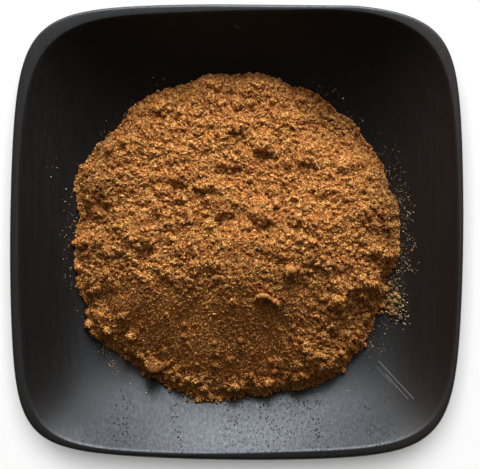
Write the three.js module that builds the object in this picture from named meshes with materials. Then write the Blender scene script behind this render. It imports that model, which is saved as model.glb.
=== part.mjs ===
// A small square wooden prep bowl, stained black, holding a heap of ground pumpkin pie spice.
// Millimetres, +Z up. The origin is on the table, under the middle of the bowl; +Y is the far side.

import * as THREE from 'three';
import { SimplexNoise } from 'three/addons/math/SimplexNoise.js';

// ---------------------------------------------------------------- bowl dimensions
const BOWL_HALF_X = 70.0; // middle to the left or right side, over the rim
const BOWL_HALF_Y = 70.35; // middle to the near or far side, over the rim
const BOWL_HEIGHT = 30.0;
const SIDE_BOW_RADIUS = 660.0; // each side bows out along an arc of this radius
const CORNER_POWERS = [8.4, 7.8, 8.7, 7.6]; // corner squareness, from +X +Y anticlockwise; higher is squarer
const RIM_WIDTH = 1.95; // mean width at the middle of a side; the corners come out wider
const HOLLOW_CORNER_POWERS = [6.6, 6.1, 8.3, 7.0]; // the hollow's corners are rounder than the bowl's
const HOLLOW_SHIFT = 0.45; // the hollow was cut this far to the right of the bowl's middle
const HOLLOW_TURN = 0.5; // and turned by this many degrees, so that the rim's width varies
const FLOOR_THICKNESS = 5.0;
const DISH_POWER = 2.5; // how the hollow's floor turns up into its wall
const FOOT_HALF = 35.0; // middle to edge of the flat foot
const FOOT_POWER = 3.2; // the foot is a very round square
const FOOT_EDGE_RISE = 0.8; // small rounding where the foot meets the wall
const WALL_SWEEP = 1.35; // how the outer wall flares from foot to rim
const RIM_ROUND_OUT = 1.2; // the rim's outer edge is rounded off this deep
const RIM_ROUND_IN = 0.35; // and its inner edge only eased

// ---------------------------------------------------------------- heap dimensions
const HEAP_RADIUS = 51.9; // mean radius of the edge
const HEAP_CENTRE = new THREE.Vector2(-0.3, -1.1);
const CREST = new THREE.Vector2(2.0, -9.0); // the highest part lies towards the near side
const CREST_RISE = 13.6; // crest above the edge, without the ridge
const SLOPE_POWER = { near: 1.0, far: 1.12 }; // 1 is a cone, 2 a dome: the near slope falls at once, the far one late
const CREST_ROUNDING = 0.12; // share of the way to the edge over which the crest is rounded
const EDGE_REACH_POWER = 7; // bulges and notches of the edge fade within a few millimetres inwards
const LEVELLING_POWER = 5; // how far in from the edge the heap still follows the edge's own height
const BOWL_GAP = 0.4; // clearance between powder and wood, measured upwards
const EDGE_THICKNESS = 1.1; // the powder ends in a low crumbly step
const EDGE_SHOULDER = 1.3; // which rises this much more over the next few millimetres
const SHOULDER_WIDTH = 2.4;
const RIDGE = { rise: 2.3, width: 11.0, tilt: -0.02, bow: 130.0 }; // the crest runs on to both sides as a ridge

// Bulges and notches of the edge: direction and half-width in degrees, and how far the edge moves out.
const EDGE_BULGES = [
  { at: 11, width: 5, out: 0.7 },
  { at: 18, width: 4, out: -0.9 },
  { at: 38, width: 14, out: -0.5 },
  { at: 45, width: 3, out: 0.8 },
  { at: 51, width: 3, out: -0.8 },
  { at: 70, width: 3.5, out: -1.1 },
  { at: 91, width: 4, out: -0.9 },
  { at: 109, width: 6, out: -1.1 },
  { at: 128, width: 7, out: 0.7 },
  { at: 137, width: 4, out: -1.0 },
  { at: 148, width: 4, out: 0.6 },
  { at: 158, width: 5.5, out: 2.3 },
  { at: 175, width: 8, out: -2.6 },
  { at: 190, width: 4.5, out: -1.9 },
  { at: 199, width: 3.5, out: 1.0 },
  { at: 205, width: 3, out: -1.4 },
  { at: 213, width: 5.5, out: 2.6 },
  { at: 236, width: 12, out: -0.6 },
  { at: 255, width: 4, out: 0.8 },
  { at: 275, width: 5, out: -1.9 },
  { at: 288, width: 4, out: -2.0 },
  { at: 309, width: 9, out: 1.6 },
  { at: 315, width: 2.5, out: -1.5 },
  { at: 329, width: 4, out: -1.2 },
  { at: 337.5, width: 4, out: -1.4 },
  { at: 345, width: 3.4, out: -2.9 },
];

// Ledges where the powder slid and broke off towards the near side: middle, half-length, lean in
// degrees, and drop.
const LEDGES = [
  { x: -13.0, y: 13.5, reach: 11.0, lean: -5, drop: 1.3 },
  { x: -3.0, y: 7.0, reach: 4.5, lean: 15, drop: 1.3 },
  { x: 8.0, y: 3.8, reach: 5.5, lean: -25, drop: 1.5 },
  { x: -19.0, y: 0.8, reach: 5.0, lean: 20, drop: 1.0 },
  { x: 4.0, y: -6.0, reach: 15.0, lean: -1, drop: 1.4 },
  { x: 18.5, y: 2.0, reach: 3.0, lean: -20, drop: 1.0 },
  { x: -17.0, y: -6.0, reach: 5.0, lean: 15, drop: 0.8 },
  { x: 31.0, y: -11.5, reach: 6.0, lean: -5, drop: 0.9 },
  { x: 43.0, y: -7.5, reach: 2.6, lean: 0, drop: 1.6 },
  { x: 38.0, y: -19.3, reach: 4.5, lean: -3, drop: 1.8 },
  { x: -24.0, y: 37.5, reach: 6.0, lean: 14, drop: 1.0 },
  { x: 0.5, y: 32.0, reach: 3.0, lean: 0, drop: 1.3 },
  { x: 8.5, y: 26.0, reach: 3.4, lean: -10, drop: 1.6 },
  { x: 23.0, y: 21.3, reach: 5.0, lean: -8, drop: 1.4 },
  { x: 0.0, y: 20.0, reach: 4.5, lean: 5, drop: 1.1 },
  { x: 16.0, y: 10.5, reach: 2.6, lean: -5, drop: 1.0 },
  { x: 28.0, y: 35.0, reach: 5.0, lean: -35, drop: 1.0 },
  { x: -42.0, y: 11.0, reach: 3.5, lean: 5, drop: 1.0 },
  { x: -32.0, y: 15.0, reach: 4.5, lean: 20, drop: 0.8 },
  { x: -26.0, y: 23.5, reach: 4.5, lean: 15, drop: 0.8 },
  { x: 34.0, y: 19.2, reach: 3.4, lean: 0, drop: 0.9 },
  { x: -38.0, y: -17.0, reach: 5.0, lean: 12, drop: 0.8 },
];
const LEDGE_RUN = 4.5; // the powder levels out again over this length on both sides of a break
const LEDGE_BREAK = 0.6; // half-width of the break itself

// Clumps that stand out in the powder: place, half-size and height.
const CLUMPS = [
  { x: 9.0, y: 7.8, size: 3.6, height: 1.2 },
  { x: 34.0, y: 22.6, size: 3.4, height: 0.9 },
  { x: 16.9, y: -11.8, size: 2.0, height: 1.3 },
  { x: 9.4, y: -20.2, size: 2.3, height: 1.2 },
  { x: 13.6, y: -21.4, size: 2.3, height: 1.1 },
  { x: 31.5, y: -21.4, size: 2.7, height: 1.4 },
  { x: 47.6, y: -7.2, size: 2.4, height: 1.4 },
  { x: 43.0, y: -14.4, size: 2.5, height: 1.3 },
  { x: 47.8, y: -19.5, size: 2.0, height: 1.1 },
  { x: 24.0, y: -38.0, size: 2.8, height: 1.2 },
  { x: 18.0, y: -34.5, size: 2.3, height: 0.9 },
  { x: 12.4, y: -43.4, size: 2.2, height: 1.2 },
  { x: 38.0, y: -32.0, size: 2.5, height: 1.0 },
  { x: 31.5, y: -34.0, size: 2.3, height: 0.9 },
  { x: -26.1, y: -43.0, size: 2.7, height: 1.8 },
  { x: -46.5, y: 21.6, size: 2.4, height: 1.0 },
  { x: -40.8, y: 29.0, size: 2.3, height: 1.0 },
  { x: -44.2, y: -24.5, size: 2.4, height: 1.0 },
  { x: -27.8, y: 1.2, size: 2.5, height: 0.8 },
];

// Loose lumps strewn at random, many of them along the near edge.
const STREWN = { count: 150, seed: 31, size: [1.2, 2.4], height: 0.38, nearEdgeShare: 0.4 };

// Rough relief in three sizes: width of a swell and its height. The shifts keep the three apart.
const SWELLS = { width: 16.0, height: 0.7, shift: 0.0 };
const RUCKS = { width: 5.5, length: 9.0, height: 0.42, shift: 3.7 };
const PIMPLES = { width: 2.9, height: 0.26, shift: 9.1 };
const RUCK_LEAN = { left: 17, right: -9 }; // degrees
const SMOOTH_FACE = { from: -23.0, to: -13.0, share: 0.35 }; // the near slope is smoother than the rest
const CROOKEDNESS = { width: 7.0, shift: 1.2 }; // how far lines wander, so that none is straight
const NOISE_SEED = 7;

// ---------------------------------------------------------------- fineness of the surfaces
const BOWL_SPOKES = 72;
const SPOKE_CROWDING = 0.13; // draws the spokes together at the corners
const DISH_RINGS = 9;
const WALL_RINGS = 5;
const HEAP_RINGS = 36; // ring k of the heap's top has 6k points
const HEAP_UNDER_RINGS = [6, 12, 24, 36, 54, 84, 132]; // points of each ring of its underside

// ---------------------------------------------------------------- small helpers
const DEG = Math.PI / 180;

function seededRandom(seed) {
  let state = seed >>> 0;
  return () => {
    state = (state + 0x6d2b79f5) >>> 0;
    let mixed = state;
    mixed = Math.imul(mixed ^ (mixed >>> 15), mixed | 1);
    mixed ^= mixed + Math.imul(mixed ^ (mixed >>> 7), mixed | 61);
    return ((mixed ^ (mixed >>> 14)) >>> 0) / 4294967296;
  };
}

const noise = new SimplexNoise({ random: seededRandom(NOISE_SEED) });

function angleBetween(a, b) {
  const turn = Math.abs(a - b) % 360;
  return Math.min(turn, 360 - turn);
}

function meshFrom(name, points, faces, material) {
  const geometry = new THREE.BufferGeometry();
  geometry.setAttribute('position', new THREE.Float32BufferAttribute(points.flat(), 3));
  geometry.setIndex(faces.flat());
  geometry.computeVertexNormals();
  const mesh = new THREE.Mesh(geometry, material);
  mesh.name = name;
  return mesh;
}

// Joins two rings of points, given as lists of point numbers, by a strip of triangles that faces
// away from the first ring's side when both run anticlockwise. The rings may differ in count.
function strip(inner, outer) {
  const faces = [];
  let i = 0;
  let j = 0;
  while (i < inner.length || j < outer.length) {
    const a = inner[i % inner.length];
    const b = outer[j % outer.length];
    const innerNext = (i + 1) / inner.length;
    const outerNext = (j + 1) / outer.length;
    if (i < inner.length && (j >= outer.length || innerNext <= outerNext)) {
      faces.push([a, b, inner[(i + 1) % inner.length]]);
      i += 1;
    } else {
      faces.push([a, b, outer[(j + 1) % outer.length]]);
      j += 1;
    }
  }
  return faces;
}

function fan(centre, ring) {
  return ring.map((point, i) => [centre, point, ring[(i + 1) % ring.length]]);
}

const flipped = (faces) => faces.map(([a, b, c]) => [a, c, b]);

// ---------------------------------------------------------------- the bowl's form
// Distance from the middle to a rounded square's outline. Each side is an arc that bows out, and
// `power` rounds the corners: 2 gives a circle, higher values a squarer outline.
function outlineRadius(angle, halfX, halfY, power, bow = SIDE_BOW_RADIUS) {
  const across = Math.abs(Math.cos(angle));
  const along = Math.abs(Math.sin(angle));
  const toSide = (towards, sideways, half) => {
    const back = bow - half;
    return Math.sqrt(bow ** 2 - (back * sideways) ** 2) - back * towards;
  };
  const x = toSide(across, along, halfX);
  const y = toSide(along, across, halfY);
  return (x ** -power + y ** -power) ** (-1 / power);
}

function cornerPower(angle, powers) {
  const fullTurn = 2 * Math.PI;
  const quarter = Math.floor((((angle % fullTurn) + fullTurn) % fullTurn) / (fullTurn / 4));
  return powers[quarter];
}

const rimOutside = (angle) => outlineRadius(angle, BOWL_HALF_X, BOWL_HALF_Y, cornerPower(angle, CORNER_POWERS));

// The hollow: round at its floor and squarer with each step up. `share` goes from 0 at the middle
// to 1 at the rim. Its own middle lies at HOLLOW_SHIFT.
function hollowRadius(angle, share) {
  const turned = angle - HOLLOW_TURN * DEG;
  const power = THREE.MathUtils.lerp(2, cornerPower(turned, HOLLOW_CORNER_POWERS), share ** 3);
  const halfX = (BOWL_HALF_X - RIM_WIDTH) * share;
  const halfY = (BOWL_HALF_Y - RIM_WIDTH) * share;
  return outlineRadius(turned, halfX, halfY, power, SIDE_BOW_RADIUS / share ** 2);
}

const DISH_DEPTH = BOWL_HEIGHT - FLOOR_THICKNESS;
const hollowHeight = (share) => FLOOR_THICKNESS + DISH_DEPTH * share ** DISH_POWER;

// Height of the hollow's surface under a point, by halving the share until its contour passes there.
function hollowHeightAt(x, y) {
  const radius = Math.hypot(x - HOLLOW_SHIFT, y);
  const angle = Math.atan2(y, x - HOLLOW_SHIFT);
  let low = 1e-4;
  let high = 1;
  for (let step = 0; step < 24; step += 1) {
    const middle = (low + high) / 2;
    if (hollowRadius(angle, middle) < radius) low = middle;
    else high = middle;
  }
  return hollowHeight(high);
}

function makeBowl(material) {
  const points = [];
  const addPoint = (x, y, z) => points.push([x, y, z]) - 1;
  const addRing = (radiusAt, z, middleX = 0) =>
    Array.from({ length: BOWL_SPOKES }, (_, i) => {
      const even = (i / BOWL_SPOKES) * 2 * Math.PI;
      const angle = even + SPOKE_CROWDING * Math.sin(4 * even);
      const radius = radiusAt(angle);
      return addPoint(middleX + radius * Math.cos(angle), radius * Math.sin(angle), z);
    });

  const footRadius = (angle) => outlineRadius(angle, FOOT_HALF, FOOT_HALF, FOOT_POWER);
  const wallTop = BOWL_HEIGHT - RIM_ROUND_OUT;
  const rings = [];
  rings.push(addRing((angle) => footRadius(angle) - FOOT_EDGE_RISE, 0));
  for (let i = 0; i <= WALL_RINGS; i += 1) {
    const share = i / WALL_RINGS;
    const z = FOOT_EDGE_RISE + (wallTop - FOOT_EDGE_RISE) * share ** WALL_SWEEP;
    rings.push(addRing((angle) => THREE.MathUtils.lerp(footRadius(angle), rimOutside(angle), share), z));
  }
  rings.push(addRing((angle) => rimOutside(angle) - RIM_ROUND_OUT * 0.16, BOWL_HEIGHT - RIM_ROUND_OUT * 0.4));
  rings.push(addRing((angle) => rimOutside(angle) - RIM_ROUND_OUT * 0.6, BOWL_HEIGHT));
  rings.push(addRing((angle) => hollowRadius(angle, 1) + RIM_ROUND_IN, BOWL_HEIGHT, HOLLOW_SHIFT));
  for (let i = 0; i < DISH_RINGS; i += 1) {
    const share = 1 - i / DISH_RINGS;
    const drop = i === 0 ? RIM_ROUND_IN : 0;
    rings.push(addRing((angle) => hollowRadius(angle, share), hollowHeight(share) - drop, HOLLOW_SHIFT));
  }

  const footMiddle = addPoint(0, 0, 0);
  const floorMiddle = addPoint(HOLLOW_SHIFT, 0, FLOOR_THICKNESS);
  const faces = flipped(fan(footMiddle, rings[0]));
  for (let i = 1; i < rings.length; i += 1) faces.push(...flipped(strip(rings[i - 1], rings[i])));
  faces.push(...fan(floorMiddle, rings[rings.length - 1]));
  return meshFrom('bowl', points, faces, material);
}

// ---------------------------------------------------------------- the heap's form
function edgeRadius(angle) {
  let radius = HEAP_RADIUS;
  for (const { at, width, out } of EDGE_BULGES) {
    radius += out * Math.exp(-((angleBetween(angle / DEG, at) / width) ** 2));
  }
  const crumbs = 16; // small waves of the edge, a few millimetres long
  radius += 0.35 * noise.noise(crumbs * Math.cos(angle), crumbs * Math.sin(angle));
  return radius;
}

function strewnLumps() {
  const random = seededRandom(STREWN.seed);
  return Array.from({ length: STREWN.count }, () => {
    const nearEdge = random() < STREWN.nearEdgeShare;
    const angle = nearEdge ? (200 + 140 * random()) * DEG : 2 * Math.PI * random();
    const share = nearEdge ? 0.9 + 0.09 * random() : Math.sqrt(random()) * 0.95;
    const radius = share * edgeRadius(angle);
    const size = THREE.MathUtils.lerp(...STREWN.size, random() ** 2);
    return {
      x: HEAP_CENTRE.x + radius * Math.cos(angle),
      y: HEAP_CENTRE.y + radius * Math.sin(angle),
      size,
      height: size * STREWN.height,
    };
  });
}

const LUMPS = [...CLUMPS, ...strewnLumps()];

function lumpHeight(x, y) {
  let height = 0;
  for (const lump of LUMPS) {
    const distance = Math.hypot(x - lump.x, y - lump.y) / lump.size;
    if (distance < 2) height += lump.height * Math.exp(-1.4 * distance ** 2);
  }
  return height;
}

function ledgeHeight(x, y) {
  let height = 0;
  for (const ledge of LEDGES) {
    const cos = Math.cos(ledge.lean * DEG);
    const sin = Math.sin(ledge.lean * DEG);
    const along = ((x - ledge.x) * cos + (y - ledge.y) * sin) / ledge.reach;
    const above = (y - ledge.y) * cos - (x - ledge.x) * sin;
    const taper = Math.exp(-(along ** 4));
    height += 0.5 * ledge.drop * taper * Math.tanh(above / LEDGE_BREAK) * Math.exp(-Math.abs(above) / LEDGE_RUN);
  }
  return height;
}

// Low rucks that lean one way on the left of the crest and the other way on the right.
function ruckHeight(x, y) {
  const rightwards = THREE.MathUtils.smoothstep(x, -20, 25);
  const lean = THREE.MathUtils.lerp(RUCK_LEAN.left, RUCK_LEAN.right, rightwards) * DEG;
  const along = (x * Math.cos(lean) + y * Math.sin(lean)) / RUCKS.length;
  const across = (y * Math.cos(lean) - x * Math.sin(lean)) / RUCKS.width;
  return RUCKS.height * (1 - 2 * Math.abs(noise.noise3d(along, across, RUCKS.shift)));
}

function roughness(x, y) {
  const wander = (shift) =>
    CROOKEDNESS.shift * noise.noise3d(x / CROOKEDNESS.width, y / CROOKEDNESS.width, shift);
  const bentX = x + wander(20);
  const bentY = y + wander(40);
  const calm = THREE.MathUtils.lerp(SMOOTH_FACE.share, 1, THREE.MathUtils.smoothstep(y, SMOOTH_FACE.from, SMOOTH_FACE.to));
  const swell = SWELLS.height * noise.noise3d(x / SWELLS.width, y / SWELLS.width, SWELLS.shift);
  const pimple = PIMPLES.height * noise.noise3d(x / PIMPLES.width, y / PIMPLES.width, PIMPLES.shift);
  return swell + calm * (ruckHeight(bentX, bentY) + pimple) + ledgeHeight(bentX, bentY) + lumpHeight(bentX, bentY);
}

// A point of the heap's top, `share` of the way from the crest to the edge.
function heapPoint(angle, share) {
  const uneven = edgeRadius(angle) - HEAP_RADIUS;
  const radius = share * HEAP_RADIUS + share ** EDGE_REACH_POWER * uneven;
  const x = THREE.MathUtils.lerp(CREST.x, HEAP_CENTRE.x, share) + radius * Math.cos(angle);
  const y = THREE.MathUtils.lerp(CREST.y, HEAP_CENTRE.y, share) + radius * Math.sin(angle);
  return { x, y };
}

const woodUnderEdge = (angle) => {
  const { x, y } = heapPoint(angle, 1);
  return hollowHeightAt(x, y) + BOWL_GAP;
};

const MEAN_EDGE_HEIGHT = (() => {
  const samples = 72;
  let sum = 0;
  for (let i = 0; i < samples; i += 1) sum += woodUnderEdge((i / samples) * 2 * Math.PI);
  return sum / samples;
})();

function heapTop(angle, share) {
  const { x, y } = heapPoint(angle, share);
  const levelling = share ** LEVELLING_POWER;
  const base = THREE.MathUtils.lerp(MEAN_EDGE_HEIGHT, woodUnderEdge(angle), levelling) + EDGE_THICKNESS;
  const inwards = (1 - share) * edgeRadius(angle);
  const shoulder = EDGE_SHOULDER * (1 - Math.exp(-inwards / SHOULDER_WIDTH));
  const towardsFar = THREE.MathUtils.smoothstep(Math.sin(angle), -0.7, 0.3);
  const power = THREE.MathUtils.lerp(SLOPE_POWER.near, SLOPE_POWER.far, towardsFar);
  const rounded = (part) => Math.hypot(part, CREST_ROUNDING) - CREST_ROUNDING;
  const mound = (CREST_RISE - EDGE_THICKNESS) * (1 - (rounded(share) / rounded(1)) ** power);
  const ridgeLine = CREST.y + RIDGE.tilt * x - x ** 2 / (2 * RIDGE.bow);
  const ridge = RIDGE.rise * Math.exp(-(((y - ridgeLine) / RIDGE.width) ** 2)) * (1 - share ** 3);
  const fade = THREE.MathUtils.lerp(0.3, 1, THREE.MathUtils.smoothstep(inwards, 0, 2 * SHOULDER_WIDTH));
  return [x, y, base + shoulder + mound + ridge + fade * roughness(x, y)];
}

function makeHeap(material) {
  const points = [];
  const addPoint = (point) => points.push(point) - 1;
  const around = (count, pointAt) =>
    Array.from({ length: count }, (_, i) => addPoint(pointAt((i / count) * 2 * Math.PI)));

  const faces = [];
  const crest = addPoint(heapTop(0, 0));
  let ring = around(6, (angle) => heapTop(angle, 1 / HEAP_RINGS));
  faces.push(...fan(crest, ring));
  for (let k = 2; k <= HEAP_RINGS; k += 1) {
    const next = around(6 * k, (angle) => heapTop(angle, k / HEAP_RINGS));
    faces.push(...strip(ring, next));
    ring = next;
  }

  // the underside follows the wood
  const under = (angle, share) => {
    const radius = share * edgeRadius(angle);
    const x = HEAP_CENTRE.x + radius * Math.cos(angle);
    const y = HEAP_CENTRE.y + radius * Math.sin(angle);
    return [x, y, hollowHeightAt(x, y) + BOWL_GAP];
  };
  const edge = around(6 * HEAP_RINGS, (angle) => under(angle, 1));
  faces.push(...strip(ring, edge));
  let outer = edge;
  for (let i = HEAP_UNDER_RINGS.length - 1; i >= 0; i -= 1) {
    const share = (i + 1) / (HEAP_UNDER_RINGS.length + 0.4);
    const inner = around(HEAP_UNDER_RINGS[i], (angle) => under(angle, share));
    faces.push(...flipped(strip(inner, outer)));
    outer = inner;
  }
  const bottom = addPoint([HEAP_CENTRE.x, HEAP_CENTRE.y, hollowHeightAt(HEAP_CENTRE.x, HEAP_CENTRE.y) + BOWL_GAP]);
  faces.push(...flipped(fan(bottom, outer)));
  return meshFrom('spice_heap', points, faces, material);
}

// ---------------------------------------------------------------- materials
const blackStainedWood = new THREE.MeshStandardMaterial({ color: 0x1f1b18, roughness: 0.42, metalness: 0 });
const groundSpice = new THREE.MeshStandardMaterial({ color: 0x9a6233, roughness: 0.95, metalness: 0 });

// ---------------------------------------------------------------- the bowl with its spice
const spiceBowl = new THREE.Group();
spiceBowl.add(makeBowl(blackStainedWood));
spiceBowl.add(makeHeap(groundSpice));

export default spiceBowl;
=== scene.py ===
"""Bowl of pumpkin pie spice: a black-stained wooden prep bowl with a heap of ground spice.

Metres, +Z up, origin on the table under the middle of the bowl. The tables of places are in
millimetres, and MM turns them to metres where they are used.
"""

import math
from functools import partial

import bmesh
import bpy
import numpy as np
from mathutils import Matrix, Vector


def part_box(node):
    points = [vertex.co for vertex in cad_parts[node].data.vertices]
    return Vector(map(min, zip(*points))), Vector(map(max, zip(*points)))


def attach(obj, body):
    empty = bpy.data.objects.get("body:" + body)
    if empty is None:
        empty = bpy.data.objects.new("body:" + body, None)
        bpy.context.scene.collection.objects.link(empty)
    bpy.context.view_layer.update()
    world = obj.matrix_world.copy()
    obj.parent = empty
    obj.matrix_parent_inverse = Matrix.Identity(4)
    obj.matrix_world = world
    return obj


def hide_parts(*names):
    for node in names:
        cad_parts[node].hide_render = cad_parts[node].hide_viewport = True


bl_info = {
    "name": "Bowl of Pumpkin Pie Spice",
    "version": (1, 0, 0),
    "blender": (4, 5, 0),
    "location": "View3D > Sidebar > Spice Bowl",
    "description": "Builds a small wooden bowl with a heap of ground spice, grain by grain",
    "category": "Add Mesh",
}

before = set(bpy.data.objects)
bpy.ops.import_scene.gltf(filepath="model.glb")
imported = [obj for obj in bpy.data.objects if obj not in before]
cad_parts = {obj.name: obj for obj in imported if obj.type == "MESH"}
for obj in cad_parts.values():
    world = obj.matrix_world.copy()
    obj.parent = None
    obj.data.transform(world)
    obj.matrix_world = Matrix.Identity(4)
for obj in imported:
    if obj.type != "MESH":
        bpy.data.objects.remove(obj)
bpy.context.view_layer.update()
BOWL_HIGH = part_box("bowl")[1]
HEAP_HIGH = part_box("spice_heap")[1]

MM = 0.001


# ------------------------------------------------------------------------------ settings
class BowlSettings(bpy.types.PropertyGroup):
    """Sizes and colours of the wooden bowl"""

    half_x: bpy.props.FloatProperty(
        name="Half Width", description="Middle to the left or right side, over the rim",
        default=BOWL_HIGH.x, unit="LENGTH")
    half_y: bpy.props.FloatProperty(
        name="Half Length", description="Middle to the near or far side, over the rim",
        default=BOWL_HIGH.y, unit="LENGTH")
    height: bpy.props.FloatProperty(
        name="Height", description="Table to rim", default=BOWL_HIGH.z, unit="LENGTH")
    side_bow: bpy.props.FloatProperty(
        name="Side Bow Radius", description="Each side bows out along an arc of this radius",
        default=0.66, unit="LENGTH")
    rim_width: bpy.props.FloatProperty(
        name="Rim Width", description="Mean width of the rim at the middle of a side",
        default=0.00195, unit="LENGTH")
    floor_thickness: bpy.props.FloatProperty(
        name="Floor Thickness", description="Wood under the middle of the hollow",
        default=0.005, unit="LENGTH")
    dish_power: bpy.props.FloatProperty(
        name="Dish Power", description="How the hollow's floor turns up into its wall", default=2.5)
    hollow_shift: bpy.props.FloatProperty(
        name="Hollow Shift", description="How far the hollow lies to the right of the bowl's middle",
        default=0.00045, unit="LENGTH")
    hollow_turn: bpy.props.FloatProperty(
        name="Hollow Turn", description="How far the hollow is turned in the bowl",
        default=math.radians(0.5), subtype="ANGLE")
    foot_half: bpy.props.FloatProperty(
        name="Foot Half Width", description="Middle to edge of the flat foot",
        default=0.035, unit="LENGTH")
    stain: bpy.props.FloatVectorProperty(
        name="Stain", description="Black-brown stain on the wood", subtype="COLOR", size=3,
        default=(0.0034, 0.0032, 0.0026), min=0, max=1)


class HeapSettings(bpy.types.PropertyGroup):
    """Relief of the heap of ground spice"""

    rings: bpy.props.IntProperty(
        name="Rings", description="Rings of points from the middle of the heap to its edge",
        default=179, min=8)
    swell_height: bpy.props.FloatProperty(
        name="Swell Height", description="Height of the broad swells", default=0.0022, unit="LENGTH")
    lump_size: bpy.props.FloatProperty(
        name="Lump Size", description="Width of the lumps that the powder clings together in",
        default=0.0040, unit="LENGTH")
    lump_height: bpy.props.FloatProperty(
        name="Lump Height", description="Height of the largest lumps", default=0.0012, unit="LENGTH")
    crumb_size: bpy.props.FloatProperty(
        name="Crumb Size", description="Width of the crumbs between and on the lumps",
        default=0.0018, unit="LENGTH")
    crumb_height: bpy.props.FloatProperty(
        name="Crumb Height", description="Height of the largest crumbs",
        default=0.00105, unit="LENGTH")
    crease_depth: bpy.props.FloatProperty(
        name="Crease Depth", description="Depth of the creases that wind between the lumps",
        default=0.0007, unit="LENGTH")
    grit_height: bpy.props.FloatProperty(
        name="Grit Height", description="Height of the finest relief", default=0.0009, unit="LENGTH")
    seed: bpy.props.IntProperty(name="Seed", description="Random seed of the relief", default=5)


class GrainSettings(bpy.types.PropertyGroup):
    """Loose grains on the heap and on the wood"""

    cinnamon: bpy.props.IntProperty(
        name="Cinnamon Grains", description="Warm brown grains on the heap", default=9800, min=0)
    ginger: bpy.props.IntProperty(
        name="Ginger Grains", description="Pale tan grains on the heap", default=9800, min=0)
    clove: bpy.props.IntProperty(
        name="Clove Grains", description="Dark brown grains on the heap", default=5000, min=0)
    powder: bpy.props.IntProperty(
        name="Powder Grains", description="Fine grains of each shade on the heap",
        default=24000, min=0)
    crumb_amount: bpy.props.FloatProperty(
        name="Foot Crumbs", description="Crumbs per square millimetre along the near foot",
        default=0.6, min=0)
    edge_amount: bpy.props.FloatProperty(
        name="Edge Crumbs", description="Crumbs per square millimetre on the wood at the near edge",
        default=1.0, min=0)
    pile_amount: bpy.props.FloatProperty(
        name="Pile Crumbs", description="Crumbs per square millimetre in the pile on the right",
        default=2.8, min=0)
    dust_amount: bpy.props.FloatProperty(
        name="Dust", description="Specks per square millimetre where dust lies thickest",
        default=2.2, min=0)
    fibre_amount: bpy.props.FloatProperty(
        name="Fibres", description="Fibres per square millimetre where they lie thickest",
        default=0.45, min=0)
    seed: bpy.props.IntProperty(name="Seed", description="Random seed of the grains", default=11)


class StageSettings(bpy.types.PropertyGroup):
    """Floor, light and camera"""

    camera_height: bpy.props.FloatProperty(
        name="Camera Height", description="Camera above the rim", default=0.5, unit="LENGTH")
    field: bpy.props.FloatProperty(
        name="Field Width", description="Width of the picture in the plane of the rim",
        default=0.1479, unit="LENGTH")
    roll: bpy.props.FloatProperty(
        name="Roll", description="Turn of the camera about its line of sight",
        default=math.radians(0.57), subtype="ANGLE")
    window_power: bpy.props.FloatProperty(
        name="Window Power", description="Light of the low window beyond the far side",
        default=20.0, subtype="POWER")


# ------------------------------------------------------------------------------ helpers
MODES = {
    # the setting that a mode after a node's kind stands for, where it isn't the operation
    "ShaderNodeMapRange": "interpolation_type",
    "ShaderNodeTexNoise": "noise_dimensions",
    "ShaderNodeMix": "data_type",
    "FunctionNodeRandomValue": "data_type",
}


def add_node(tree, kind, *values, **settings):
    """Adds a node. Its kind may carry a mode after a dot, as in ShaderNodeMath.ADD.

    Values fill the inputs in use in their order, and a dict fills inputs by name or number. Each
    value is a plain one, an output, a node, which stands for its first output in use, or a list
    of nodes that all go into the same input.
    """
    kind, _, mode = kind.partition(".")
    node = tree.nodes.new(kind)
    if mode:
        setattr(node, MODES.get(kind, "operation"), mode)
    for name, value in settings.items():
        setattr(node, name, value)
    in_use = (socket for socket in node.inputs if socket.enabled)
    inputs = []
    for value in values:
        if isinstance(value, dict):
            inputs.extend((node.inputs[name], named) for name, named in value.items())
        else:
            inputs.append((next(in_use), value))
    for socket, value in inputs:
        for source in value if isinstance(value, list) else [value]:
            if isinstance(source, bpy.types.Node):
                source = next(output for output in source.outputs if output.enabled)
            if isinstance(source, bpy.types.NodeSocket):
                tree.links.new(source, socket)
            else:
                socket.default_value = source
    return node


def new_tree(name, *sockets):
    """An empty Geometry Nodes tree with (label, kind) inputs, its node adder and its inputs."""
    tree = bpy.data.node_groups.new(name, "GeometryNodeTree")
    for label, kind in (("Geometry", "Geometry"), *sockets):
        tree.interface.new_socket(label, in_out="INPUT", socket_type="NodeSocket" + kind)
    tree.interface.new_socket("Geometry", in_out="OUTPUT", socket_type="NodeSocketGeometry")
    add = partial(add_node, tree)
    return tree, add, add("NodeGroupInput").outputs


def close_tree(add, geometry, material):
    """Ends a tree: real mesh, one material."""
    whole = add("GeometryNodeRealizeInstances", geometry)
    dressed = add("GeometryNodeSetMaterial", {"Geometry": whole, "Material": material})
    add("NodeGroupOutput", dressed)


def linear(code):
    """An sRGB hex colour as a linear RGBA value."""
    channels = [int(code[i:i + 2], 16) / 255 for i in (1, 3, 5)]
    return (*[c / 12.92 if c <= 0.04045 else ((c + 0.055) / 1.055) ** 2.4 for c in channels], 1.0)


def new_material(name):
    """A new node material and its node adder."""
    material = bpy.data.materials.new(name)
    material.use_nodes = True
    material.node_tree.nodes.clear()
    return material, partial(add_node, material.node_tree)


def close_material(add, inputs):
    """Ends a material with a Principled shader."""
    add("ShaderNodeOutputMaterial", add("ShaderNodeBsdfPrincipled", inputs))


def with_stops(node, *stops):
    """Gives a colour ramp its (place, colour) stops."""
    points = node.color_ramp.elements
    points[0].position, points[0].color = stops[0]
    points[1].position, points[1].color = stops[-1]
    for place, colour in stops[1:-1]:
        points.new(place).color = colour
    return node


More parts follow.
